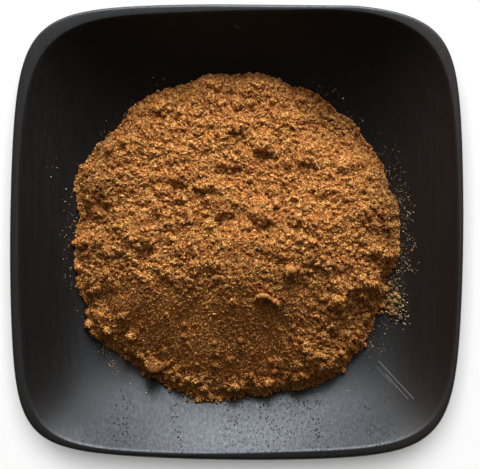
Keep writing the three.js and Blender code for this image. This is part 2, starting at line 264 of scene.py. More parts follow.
def distance_to_line(add, place, start, end):
    """Distance of a place to a line piece, seen from above. All in the same unit."""
    run = (end[0] - start[0], end[1] - start[1], 0.0)
    length = run[0] ** 2 + run[1] ** 2
    offset = add("ShaderNodeVectorMath.SUBTRACT", place, (*start, 0.0))
    part = add("ShaderNodeVectorMath.DOT_PRODUCT", offset, (run[0] / length, run[1] / length, 0.0))
    part = add("ShaderNodeMath.ADD", part, 0.0, use_clamp=True)
    onto = add("ShaderNodeVectorMath.SCALE", run, part)
    return add("ShaderNodeVectorMath.LENGTH", add("ShaderNodeVectorMath.SUBTRACT", offset, onto))


def own_axes(add, where, x, y, lean, length, width):
    """Places along and across a form, in its half-length and half-width."""
    across, along = math.sin(math.radians(lean)), math.cos(math.radians(lean))
    offset = add("ShaderNodeVectorMath.SUBTRACT", where, (x * MM, y * MM, 0.0))
    return (add("ShaderNodeVectorMath.DOT_PRODUCT", offset, (
                along / (length * MM), across / (length * MM), 0.0)),
            add("ShaderNodeVectorMath.DOT_PRODUCT", offset, (
                -across / (width * MM), along / (width * MM), 0.0)))


def bell(add, where, x, y, length, width, lean):
    """A long bell: 1 at its middle, soft to 0 past its half-length and half-width."""
    sideways, upwards = own_axes(add, where, x, y, lean, length, width)
    square = add("ShaderNodeMath.MULTIPLY_ADD", sideways, sideways,
                 add("ShaderNodeMath.MULTIPLY", upwards, upwards))
    return add("ShaderNodeMath.EXPONENT", add("ShaderNodeMath.MULTIPLY", square, -1.0))


def mesh_object(name, points, faces):
    """A new smooth object in the scene from arrays of points and faces."""
    mesh = bpy.data.meshes.new(name)
    mesh.from_pydata(np.asarray(points).tolist(), [], [list(map(int, f)) for f in faces])
    mesh.shade_smooth()
    mesh.update()
    thing = bpy.data.objects.new(name, mesh)
    bpy.context.scene.collection.objects.link(thing)
    return thing


def settle(thing, tree, values, name):
    """Runs a Geometry Nodes tree on an object, and keeps the result as a plain mesh."""
    modifier = thing.modifiers.new(tree.name, "NODES")
    modifier.node_group = tree
    sockets = {s.name: s.identifier for s in tree.interface.items_tree if s.in_out == "INPUT"}
    for label, value in values.items():
        modifier[sockets[label]] = value
    bpy.context.view_layer.update()
    evaluated = thing.evaluated_get(bpy.context.evaluated_depsgraph_get())
    mesh = bpy.data.meshes.new_from_object(evaluated)
    thing.modifiers.remove(modifier)
    thing.data = mesh
    thing.name = name
    mesh.name = name
    return thing


def finish_piece(thing, *nodes, slot):
    """Ties a finished piece to the frame."""
    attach(thing, "root")
    if nodes:
        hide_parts(*nodes)


# ------------------------------------------------------------------------------ the bowl's form
CORNER_POWERS = (8.4, 7.8, 8.7, 7.6)  # corner squareness, from +X +Y anticlockwise
HOLLOW_CORNER_POWERS = (6.6, 6.1, 8.3, 7.0)
ROUND_POWER = 2.0  # a circle, as the hollow is at its floor
CORNER_FADE = 3  # how late the hollow turns from round to square on its way up
BULGE_FADE = 8  # how near the rim the hollow starts to bulge
FOOT_POWER = 3.2
FOOT_RINGS = (0.35, 0.7, 0.9)  # shares of the foot's radius
FOOT_EDGE_RISE = 0.8 * MM
WALL_SWEEP = 1.35
RIM_ROUND_OUT = 1.2 * MM  # height of the rounding between the outside and the rim's top
RIM_ROUND_LEAST, RIM_ROUND_NEAR, RIM_ROUND_FAR = 0.6, 0.35, 0.3  # its width, as shares of that
RIM_ROUND_IN = 0.9 * MM  # radius of the rounding between the rim's top and the hollow's wall
RIM_SLOPE_SHARE = 0.98  # the hollow's slope at its rim is taken from here up
RIM_BULGES = (
    # direction and half-width in degrees, how far the outside and the hollow bulge in millimetres
    (62, 13, 1.15, 1.2),
    (108, 16, 0.0, -0.55),
    (150, 14, 0.1, -0.2),
    (288, 22, 0.0, -0.6),
)
OUTSIDE, HOLLOW = 2, 3  # columns of RIM_BULGES
SPOKES = 320
SPOKE_CROWDING = 0.13  # towards the corners
WALL_RINGS = 36
ROUNDING_RINGS = 6
DISH_RINGS = 96
HALVINGS = 24


def outline_radius(angle, half_x, half_y, power, bow):
    """Distance from the middle to a rounded square's outline, whose sides are arcs."""
    def to_side(towards, sideways, half):
        back = bow - half
        return np.sqrt(bow ** 2 - (back * sideways) ** 2) - back * towards
    across = np.abs(np.cos(angle))
    along = np.abs(np.sin(angle))
    x = to_side(across, along, half_x)
    y = to_side(along, across, half_y)
    return (x ** -power + y ** -power) ** (-1 / power)


def corner_power(angle, powers):
    """The squareness of the corner that a direction points to."""
    quarter = np.floor(np.mod(angle, 2 * np.pi) / (np.pi / 2)).astype(int) % 4
    return np.asarray(powers)[quarter]


def rim_bulge(angle, column):
    """How far the hand-carved rim strays from its even outline."""
    total = np.zeros_like(angle)
    for bulge in RIM_BULGES:
        away = np.mod(np.degrees(angle) - bulge[0] + 180, 360) - 180
        total += bulge[column] * MM * np.exp(-(away / bulge[1]) ** 2)
    return total


def rim_outside(s, angle):
    """The rim's outline, which stays inside the bowl's length and width."""
    power = corner_power(angle, CORNER_POWERS)
    even = outline_radius(angle, s.half_x, s.half_y, power, s.side_bow)
    widest = np.minimum(s.half_x / np.maximum(np.abs(np.cos(angle)), 0.1),
                        s.half_y / np.maximum(np.abs(np.sin(angle)), 0.1))
    return np.minimum(even + rim_bulge(angle, OUTSIDE), widest)


def hollow_radius(s, angle, share):
    """The hollow's outline, from its middle (share 0) to the rim (share 1)."""
    turned = angle - s.hollow_turn
    square = corner_power(turned, HOLLOW_CORNER_POWERS) - ROUND_POWER
    power = ROUND_POWER + square * share ** CORNER_FADE
    half_x = (s.half_x - s.rim_width) * share
    half_y = (s.half_y - s.rim_width) * share
    even = outline_radius(turned, half_x, half_y, power, s.side_bow / share ** 2)
    return even + rim_bulge(angle, HOLLOW) * share ** BULGE_FADE


def hollow_height(s, share):
    """Height of the hollow's surface."""
    return s.floor_thickness + (s.height - s.floor_thickness) * share ** s.dish_power


def hollow_height_at(s, x, y):
    """Height of the hollow's surface at points, by halving the share until its outline fits."""
    radius = np.hypot(x - s.hollow_shift, y)
    angle = np.arctan2(y, x - s.hollow_shift)
    low = np.full_like(radius, 1e-4)
    high = np.ones_like(radius)
    for _ in range(HALVINGS):
        middle = (low + high) / 2
        inside = hollow_radius(s, angle, middle) < radius
        low = np.where(inside, middle, low)
        high = np.where(inside, high, middle)
    return hollow_height(s, high)


def bowl_rings(s):
    """Rings of points from the foot over the rim to the floor of the hollow."""
    even = np.arange(SPOKES) / SPOKES * 2 * np.pi
    angle = even + SPOKE_CROWDING * np.sin(4 * even)
    foot = outline_radius(angle, s.foot_half, s.foot_half, FOOT_POWER, s.side_bow)
    outside = rim_outside(s, angle)
    inside = hollow_radius(s, angle, 1.0)
    wall_top = s.height - RIM_ROUND_OUT
    far, near = np.clip(np.sin(angle), 0, 1), np.clip(-np.sin(angle), 0, 1)
    rim_round = RIM_ROUND_OUT * (
        RIM_ROUND_LEAST + RIM_ROUND_NEAR * near ** 2 + RIM_ROUND_FAR * far ** 2)

    def ring(radius, z, middle=0.0):
        return np.column_stack((middle + radius * np.cos(angle), radius * np.sin(angle),
                                np.full(SPOKES, z)))

    rings = [ring(foot * share, 0.0) for share in FOOT_RINGS]
    for turn in np.linspace(0, 1, ROUNDING_RINGS, endpoint=False):
        drop = FOOT_EDGE_RISE * (1 - math.sin(turn * math.pi / 2))
        rings.append(ring(foot - drop, FOOT_EDGE_RISE * (1 - math.cos(turn * math.pi / 2))))
    for share in np.linspace(0, 1, WALL_RINGS):
        z = FOOT_EDGE_RISE + (wall_top - FOOT_EDGE_RISE) * share ** WALL_SWEEP
        rings.append(ring(foot + (outside - foot) * share, z))
    for turn in np.linspace(0, 1, ROUNDING_RINGS + 1)[1:]:
        inwards = rim_round * (1 - math.cos(turn * math.pi / 2))
        rings.append(ring(outside - inwards, wall_top + RIM_ROUND_OUT * math.sin(turn * math.pi / 2)))
    fall = hollow_height(s, 1.0) - hollow_height(s, RIM_SLOPE_SHARE)
    tilt = np.arctan(fall / (inside - hollow_radius(s, angle, RIM_SLOPE_SHARE)))
    for turn in np.linspace(0, 1, ROUNDING_RINGS):
        outwards = RIM_ROUND_IN * (np.tan(tilt / 2) - np.sin(tilt * turn))
        lower = RIM_ROUND_IN * (1 - np.cos(tilt * turn))
        rings.append(ring(inside + outwards, s.height - lower, s.hollow_shift))
    for share in np.linspace(1.0, 0, DISH_RINGS, endpoint=False)[1:]:
        rings.append(ring(hollow_radius(s, angle, share), hollow_height(s, share), s.hollow_shift))
    return rings


def loft(rings, start, end):
    """Points and quads of a closed skin over rings of equal count, with a point at each end."""
    count = len(rings[0])
    points = np.vstack([*rings, start, end])
    first, last = len(points) - 2, len(points) - 1
    here = np.arange(count)
    after = (here + 1) % count
    faces = []
    for i in range(len(rings) - 1):
        a, b = i * count, (i + 1) * count
        faces.extend(np.column_stack((a + here, a + after, b + after, b + here)).tolist())
    faces.extend(np.column_stack((np.full(count, first), after, here)).tolist())
    top = (len(rings) - 1) * count
    faces.extend(np.column_stack((np.full(count, last), top + here, top + after)).tolist())
    return points, faces


# ------------------------------------------------------------------------------ the bowl's wood
SCRATCHES = (
    # two ends and the half-width, in millimetres
    ((45.2, -40.2), (55.6, -51.3), 0.14),
    ((47.3, -44.2), (53.9, -51.5), 0.11),
    ((44.6, -42.0), (48.8, -46.8), 0.06),
)
SCRATCH_STRENGTH = 0.45
PORE_ROWS = (
    # on the near wall: x where y is PORE_ROWS_Y, lean, half-width, share; lengths in millimetres
    (-34.5, -0.1, 3.0, 0.8),
    (-17.6, -0.23, 1.3, 1.0),
    (12.4, -0.45, 1.6, 0.9),
    (26.0, -0.25, 3.2, 1.0),
    (43.0, -0.3, 1.8, 0.6),
)
PORE_ROWS_Y = -63.0
PORE_ROWS_START, PORE_ROWS_FULL = -44.0, -54.0  # y, in millimetres
# The fibres run along Y, so the pores are long there: dots on the near and far walls.
PORE_WIDTH, PORE_LENGTH = 0.8 * MM, 7.0 * MM
RING_SPACING = 10 * MM  # of the growth rings
RING_LEAN = math.radians(-17)
GRAIN_WIDTH, GRAIN_LENGTH = 0.9 * MM, 30 * MM
PATCH_WIDTH, PATCH_LENGTH = 20 * MM, 60 * MM
SKIN_GRIT = 0.5 * MM


def pore_rows(add, x, y):
    """Where open pores crowd in rows on the near wall."""
    x, y = add("ShaderNodeMath.DIVIDE", x, MM), add("ShaderNodeMath.DIVIDE", y, MM)
    total = 0.0
    for middle, lean, width, share in PORE_ROWS:
        away = add("ShaderNodeMath.MULTIPLY_ADD", y, -lean, x)
        away = add("ShaderNodeMath.SUBTRACT", away, middle - lean * PORE_ROWS_Y)
        away = add("ShaderNodeMath.DIVIDE", add("ShaderNodeMath.ABSOLUTE", away), width)
        away = add("ShaderNodeMath.MULTIPLY", add("ShaderNodeMath.POWER", away, 2.0), -1.0)
        row = add("ShaderNodeMath.EXPONENT", away)
        total = add("ShaderNodeMath.MULTIPLY_ADD", row, share, total)
    near = add("ShaderNodeMapRange.SMOOTHSTEP", y, PORE_ROWS_START, PORE_ROWS_FULL)
    return add("ShaderNodeMath.MULTIPLY", total, near)


def sheen(add, s, x, y, z):
    """Share of the oil's sheen: rubbed off in places, kept on the rim and beside the powder."""
    aside = add("ShaderNodeMath.ABSOLUTE", x)

    def falling(low, high, change, start):
        share = add("ShaderNodeMapRange.SMOOTHSTEP", aside, low * MM, high * MM)
        return add("ShaderNodeMath.MULTIPLY_ADD", share, change, start)

    def turning(place, low, high, value, other):
        share = add("ShaderNodeMapRange.SMOOTHSTEP", place, low, high)
        change = add("ShaderNodeMath.SUBTRACT", other, value)
        return add("ShaderNodeMath.MULTIPLY_ADD", share, change, value)

    middle = falling(46, 58, -0.52, 1.05)
    near_wall = falling(44, 58, 0.3, falling(4, 40, -0.56, 1.03))
    hollow = turning(y, -47 * MM, -61 * MM, middle, near_wall)
    hollow = turning(y, -10 * MM, 26 * MM, hollow, 0.6)
    return turning(z, s.height - RIM_ROUND_IN, s.height - 0.2 * MM, hollow, 1.0)


def scratches(add, where):
    """A mask of the fine straight scratches in the hollow's near right corner."""
    flat = add("ShaderNodeVectorMath.MULTIPLY", where, (1 / MM, 1 / MM, 0.0))
    total = 0.0
    for start, end, width in SCRATCHES:
        away = distance_to_line(add, flat, start, end)
        mark = add("ShaderNodeMapRange.SMOOTHSTEP", away, width, 0.3 * width)
        total = add("ShaderNodeMath.ADD", mark, total, use_clamp=True)
    return add("ShaderNodeMath.MULTIPLY", total, SCRATCH_STRENGTH)


def black_stained_wood(s):
    """Hardwood stained black and oiled: open pores, faint grain and a satin skin."""
    material, add = new_material("black_stained_wood")
    where = add("ShaderNodeTexCoord").outputs["Object"]
    own = add("ShaderNodeSeparateXYZ", where).outputs

    def stretched(width, length):
        return add("ShaderNodeMapping", {
            "Vector": where, "Scale": (1 / width, 1 / length, 1 / width)})

    pores = add("ShaderNodeTexVoronoi", {
        "Vector": stretched(PORE_WIDTH, PORE_LENGTH), "Scale": 1.0, "Randomness": 1.0},
        feature="F1")
    pore = add("ShaderNodeMapRange", pores, 0.14, 0.28, 1.0, 0.0)
    # growth rings, which carry more pores in their early wood
    rings = add("ShaderNodeMapping", {
        "Vector": where, "Rotation": (0, RING_LEAN, 0), "Scale": (1 / RING_SPACING, 4, 4)})
    growth = add("ShaderNodeTexNoise", {
        "Vector": rings, "Scale": 1.0, "Detail": 2.0, "Roughness": 0.4})
    early = add("ShaderNodeMapRange", growth, 0.48, 0.57)
    crowded = add("ShaderNodeMath.MULTIPLY_ADD", early, 0.5, pore_rows(add, own["X"], own["Y"]),
                  use_clamp=True)
    open_pore = add("ShaderNodeMath.MULTIPLY", pore, crowded)
    grain = add("ShaderNodeTexNoise", {
        "Vector": stretched(GRAIN_WIDTH, GRAIN_LENGTH), "Scale": 1.0, "Detail": 4.0,
        "Roughness": 0.6})
    patches = add("ShaderNodeTexNoise", {
        "Vector": stretched(PATCH_WIDTH, PATCH_LENGTH), "Scale": 1.0, "Detail": 3.0})

    worn = with_stops(add("ShaderNodeValToRGB", patches), (0.35, (*s.stain, 1.0)),
                      (0.6, linear("#0c0a08")), (0.8, linear("#140f0b")))
    colour = add("ShaderNodeMix.RGBA", grain, linear("#090807"), worn)
    colour = add("ShaderNodeMix.RGBA", open_pore, colour, linear("#050403"))
    # towards the side walls, more so on the right, the stain is thinner and wood shows brown
    left = add("ShaderNodeMapRange.SMOOTHSTEP", own["X"], -40 * MM, -62 * MM)
    right = add("ShaderNodeMapRange.SMOOTHSTEP", own["X"], 40 * MM, 62 * MM)
    thin = add("ShaderNodeMath.MULTIPLY_ADD", right, 0.5,
               add("ShaderNodeMath.MULTIPLY", left, 0.15))
    colour = add("ShaderNodeMix.RGBA", thin, colour, linear("#261912"))
    colour = add("ShaderNodeMix.RGBA", scratches(add, where), colour, linear("#8b8c89"))

    rough = add("ShaderNodeMapRange", grain, 0.3, 0.7, 0.46, 0.58)
    dull_pores = add("ShaderNodeMath.MULTIPLY_ADD", open_pore, 0.5, rough)
    level = add("ShaderNodeMath.MULTIPLY", sheen(add, s, own["X"], own["Y"], own["Z"]), 0.5)
    fine = add("ShaderNodeTexNoise", {
        "Vector": where, "Scale": 1 / SKIN_GRIT, "Detail": 2.0, "Roughness": 0.5})
    fine_bump = add("ShaderNodeBump", {"Height": fine, "Strength": 0.10, "Distance": 0.05 * MM})
    pore_depth = add("ShaderNodeMath.MULTIPLY", open_pore, -1.0)
    pore_bump = add("ShaderNodeBump", {
        "Height": pore_depth, "Strength": 0.8, "Distance": 0.12 * MM, "Normal": fine_bump})
    close_material(add, {
        "Base Color": colour, "Roughness": dull_pores, "Specular IOR Level": level,
        "Normal": pore_bump, "IOR": 1.5, "Specular Tint": linear("#f0f8ff")})
    return material


class SPICEBOWL_OT_bowl(bpy.types.Operator):
    """Makes the wooden bowl"""

    bl_idname = "spicebowl.bowl"
    bl_label = "Wooden Bowl"

    def execute(self, context):
        s = context.scene.spicebowl_bowl
        points, faces = loft(bowl_rings(s), (0, 0, 0), (s.hollow_shift, 0, s.floor_thickness))
        bowl = mesh_object("wooden_bowl", points, faces)
        bowl.data.materials.append(black_stained_wood(s))
        finish_piece(bowl, "bowl", slot="black_stained_wood")
        return {"FINISHED"}


# ------------------------------------------------------------------------------ the heap
GAP = 0.15 * MM  # between the powder and the wood
EDGE_STEPS = 216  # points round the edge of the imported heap
CORE_INSET = 0.15 * MM  # the loose grains reach the true edge
EDGE_RAGGEDNESS = 0.45 * MM
EDGE_WAVES = (37, 53, 71, 97, 131, 173)  # round the heap
RAGGED_FADE, SPREAD_FADE = 12, 8  # how near the edge the heap starts to stray from its outline
SPREADS = (
    # direction and half-width in degrees, how much farther out the thin edge lies in millimetres
    (165, 4, 1.2),
    (177, 5, 1.0),
    (190, 3, 1.6),
    (205, 5, 0.6),
    (222, 9, 1.4),
    (240, 4, 1.0),
    (300, 8, 1.4),
    (318, 8, 1.6),
    (345, 4, 0.6),
)
HEAP_MIDDLE = (-0.3 * MM, -1.1 * MM, 0.0)
UNDERSIDE_RINGS = ((720, 0.99), (360, 0.93), (180, 0.8), (90, 0.6), (45, 0.4), (20, 0.2))


def heap_outline():
    """Middle of the heap and its edge radius against angle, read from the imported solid."""
    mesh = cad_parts["spice_heap"].data
    points = np.empty(len(mesh.vertices) * 3)
    mesh.vertices.foreach_get("co", points)
    points = points.reshape(-1, 3)
    middle = np.array(HEAP_MIDDLE[:2])
    offset = points[:, :2] - middle
    angle = np.mod(np.arctan2(offset[:, 1], offset[:, 0]), 2 * np.pi)
    place = np.rint(angle / (2 * np.pi) * EDGE_STEPS).astype(int) % EDGE_STEPS
    radius = np.zeros(EDGE_STEPS)
    np.maximum.at(radius, place, np.hypot(*offset.T))
    return middle, radius


def edge_radius(radius, angle):
    """The heap's edge radius in any direction."""
    steps = np.arange(EDGE_STEPS + 1) / EDGE_STEPS * 2 * np.pi
    return np.interp(np.mod(angle, 2 * np.pi), steps, np.append(radius, radius[0]))


def ring_strip(inner, outer):
    """Triangles between two rings of point numbers, whose counts may differ."""
    faces = []
    i = j = 0
    while i < len(inner) or j < len(outer):
        a, b = inner[i % len(inner)], outer[j % len(outer)]
        if i < len(inner) and (j >= len(outer) or (i + 1) / len(inner) <= (j + 1) / len(outer)):
            faces.append((a, b, inner[(i + 1) % len(inner)]))
            i += 1
        else:
            faces.append((a, b, outer[(j + 1) % len(outer)]))
            j += 1
    return faces


def ragged(angle, seed):
    """Small uneven waves of the edge, about -1 to 1."""
    random = np.random.default_rng(seed)
    total = np.zeros_like(angle)
    for waves in EDGE_WAVES:
        total += random.uniform(0.5, 1.0) * np.sin(waves * angle + random.uniform(0, 2 * np.pi))
    return total * 2 / len(EDGE_WAVES)


def heap_blank(s, bowl):
    """A closed disc of fine rings: a flat top to be raised, and an underside that fits the wood."""
    middle, radius = heap_outline()
    points, faces, inwards = [], [], []

    def ring(count, share, below=False):
        angle = np.arange(count) / count * 2 * np.pi
        edge = edge_radius(radius, angle) - CORE_INSET
        edge = edge + EDGE_RAGGEDNESS * ragged(angle, s.seed) * share ** RAGGED_FADE
        for direction, width, spread in SPREADS:
            away = (np.degrees(angle) - direction) / width
            edge = edge + spread * MM * np.exp(-away ** 2) * share ** SPREAD_FADE
        x = middle[0] + share * edge * np.cos(angle)
        y = middle[1] + share * edge * np.sin(angle)
        z = hollow_height_at(bowl, x, y) + GAP
        start = sum(len(p) for p in points)
        points.append(np.column_stack((x, y, z)))
        inwards.append(np.full(count, -1.0) if below else (1 - share) * edge / MM)
        return list(range(start, start + count))

    centre = np.array([[middle[0], middle[1], bowl.floor_thickness + GAP]])
    points.append(centre)
    inwards.append(np.array([radius.mean() / MM]))
    inner = ring(6, 1 / s.rings)
    faces.extend((0, a, b) for a, b in zip(inner, inner[1:] + inner[:1]))
    for k in range(2, s.rings + 1):
        outer = ring(6 * k, k / s.rings)
        faces.extend(ring_strip(inner, outer))
        inner = outer
    outer = inner
    for count, share in UNDERSIDE_RINGS:
        inner = ring(count, share, below=True)
        faces.extend((a, c, b) for a, b, c in ring_strip(inner, outer))
        outer = inner
    low = sum(len(p) for p in points)
    points.append(centre)
    inwards.append(np.array([-1.0]))
    faces.extend((low, b, a) for a, b in zip(outer, outer[1:] + outer[:1]))
    blank = mesh_object("spice_core", np.vstack(points), faces)
    depth = blank.data.attributes.new("inwards", "FLOAT", "POINT")
    depth.data.foreach_set("value", np.concatenate(inwards))
    return blank


LEDGES = (
    # x, y, half-length, lean in degrees, drop; lengths in millimetres
    (0.8, 31.0, 3.2, 0, 1.5),
    (8.2, 25.3, 3.6, -8, 2.0),
    (16.0, 33.4, 2.6, -35, 1.1),
    (6.6, 34.6, 1.6, 0, 0.9),
    (-4.6, 27.0, 2.0, 5, 1.2),
    (22.6, 21.4, 5.0, -16, 1.6),
    (-25.0, 37.4, 5.0, 14, 1.3),
    (-18.5, 36.0, 2.6, -30, 0.9),
    (29.0, 36.4, 9.0, -38, 1.3),
    (34.5, 33.5, 3.0, -30, 1.1),
    (-3.5, 19.9, 6.5, 3, 1.1),
    (-18.0, 15.4, 3.6, 4, 1.3),
    (-9.0, 12.6, 6.0, -4, 1.7),
    (-3.5, 5.6, 5.6, 8, 1.8),
    (8.2, 4.4, 4.4, -18, 1.9),
    (20.5, 2.0, 5.5, -12, 1.1),
    (-20.5, -3.0, 3.0, 12, 1.1),
    (-27.5, 3.6, 4.0, 20, 0.9),
    (-14.5, 3.2, 2.2, 0, 1.1),
    (-28.5, -5.4, 4.6, 8, 1.4),
    (-9.5, -12.3, 7.0, 4, 0.6),
    (6.0, -5.2, 9.0, -3, 1.1),
    (-21.5, -14.6, 2.6, 14, 1.2),
    (24.0, -9.8, 5.5, -12, 1.1),
    (16.0, -13.2, 1.6, 0, 1.2),
    (42.5, -6.4, 3.0, -20, 0.8),
    (48.2, 1.8, 2.4, 10, 1.2),
    (38.2, -17.8, 4.6, 2, 1.8),
    (31.5, -21.6, 3.6, -22, 1.5),
    (9.8, -20.6, 1.9, -12, 1.3),
    (-40.5, 8.6, 3.4, 8, 1.0),
    (-38.0, 16.5, 4.0, 16, 0.9),
    (-33.0, 24.5, 4.2, 20, 1.0),
    (-44.0, -4.2, 3.4, 6, 0.9),
)
LEDGE_BREAK = 0.8  # how steeply a ledge breaks off, and how far its rise and fall run out
LEDGE_RUN = 2.6
LEDGE_SHARE = 0.85  # of the drop, taken by its rise and its fall each
CLUMPS = (
    # x, y, radius, height; millimetres
    (8.2, 27.5, 3.4, 1.3),
    (6.9, 6.6, 4.4, 1.8),
    (-27.5, -1.0, 3.6, 1.3),
    (-41.3, 27.4, 2.8, 1.3),
    (16.8, -11.8, 2.0, 1.6),
    (8.2, -20.3, 1.5, 1.0),
    (12.8, -22.0, 1.2, 0.9),
    (-9.0, 48.2, 2.2, 1.0),
    (-25.8, -42.9, 1.9, 1.8),
    (31.4, -21.6, 3.0, 1.4),
    (42.4, -14.2, 3.6, 1.2),
    (34.5, 21.6, 3.4, 1.1),
    (-14.7, 0.0, 2.2, 1.0),
    (49.4, -7.0, 2.4, 1.2),
    (-48.8, 21.4, 2.4, 1.2),
    (-29.4, 11.0, 2.4, 0.8),
    (1.6, -33.6, 1.2, 0.6),
    (-6.2, -37.2, 1.4, 0.6),
    (13.4, -40.6, 1.6, 0.9),
    (22.0, -36.0, 2.0, 0.9),
)
SWELLS = (
    # x, y, half-length, half-width, lean in degrees, height; lengths in millimetres
    (26.0, 1.0, 11.0, 9.0, -8, 2.2),
    (28.0, 42.0, 11.0, 4.5, -38, -2.8),
    (26.0, 33.5, 10.0, 5.0, -38, -3.2),
    (41.0, 28.0, 8.0, 5.0, -55, -1.9),
    (47.0, 12.0, 6.0, 9.0, 0, 2.3),
    (46.0, -16.0, 6.0, 5.0, 0, 1.7),
    (2.0, 49.0, 24.0, 4.5, 0, 1.9),
    (-22.0, 24.5, 9.0, 6.0, 5, 1.0),
    (-45.0, 2.0, 8.0, 18.0, 0, -2.2),
    (-24.0, -1.0, 18.0, 10.0, 0, -1.0),
    (-37.0, -3.0, 12.0, 9.0, 8, 1.8),
    (-13.0, 17.5, 9.0, 3.0, -4, 0.7),
    (-4.0, 33.0, 13.0, 4.0, 0, 0.7),
    (9.5, 35.0, 6.0, 3.5, 0, 0.8),
    (26.0, -40.0, 15.0, 9.0, 14, 2.1),
    (-30.0, -35.0, 10.0, 6.0, 0, 0.5),
)
EDGE_ROUNDING = 3.4  # millimetres over which the powder thins out to its edge
EDGE_POWER = 0.75
HEAD_ROOM = 1.45 * MM  # kept free over the core for the loose grains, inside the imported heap's box
LEAST_THICKNESS = 0.3 * MM
TOP_ROUNDING = 1.2 * MM
MEAN_RELIEF = 1.0 * MM  # the relief stands this much over its own hollows, on average
NEAR_SLOPE = 43.0  # from the crest to the near edge, along the slope seen from above
NEAR_BULGE = 0.9  # the near slope is fuller than a cone by this much
FOOT_SINK = 1.3  # and thins out to its foot, so that it stays as steep there
EDGE_SINK = 1.5  # and so do the other sides, nearer to the edge
SLID_ROUGHNESS = 0.04  # share of the coarse relief where the powder slid
SLID_GRIT = 0.28  # share of the fine relief there
STEP_INWARDS = (0.99, 0.99, 0.0)  # the form is looked up a little inside each point
LEVELLING, EVENING, RELIEF_BLUR = 10, 260, 8  # blur steps
SWELL_WIDTH = 9 * MM
CREASE_LENGTH, CREASE_WIDTH = 6.0 * MM, 4.0 * MM
CREASE_SHARPNESS = 4.5
GRIT_WIDTH = 0.9 * MM


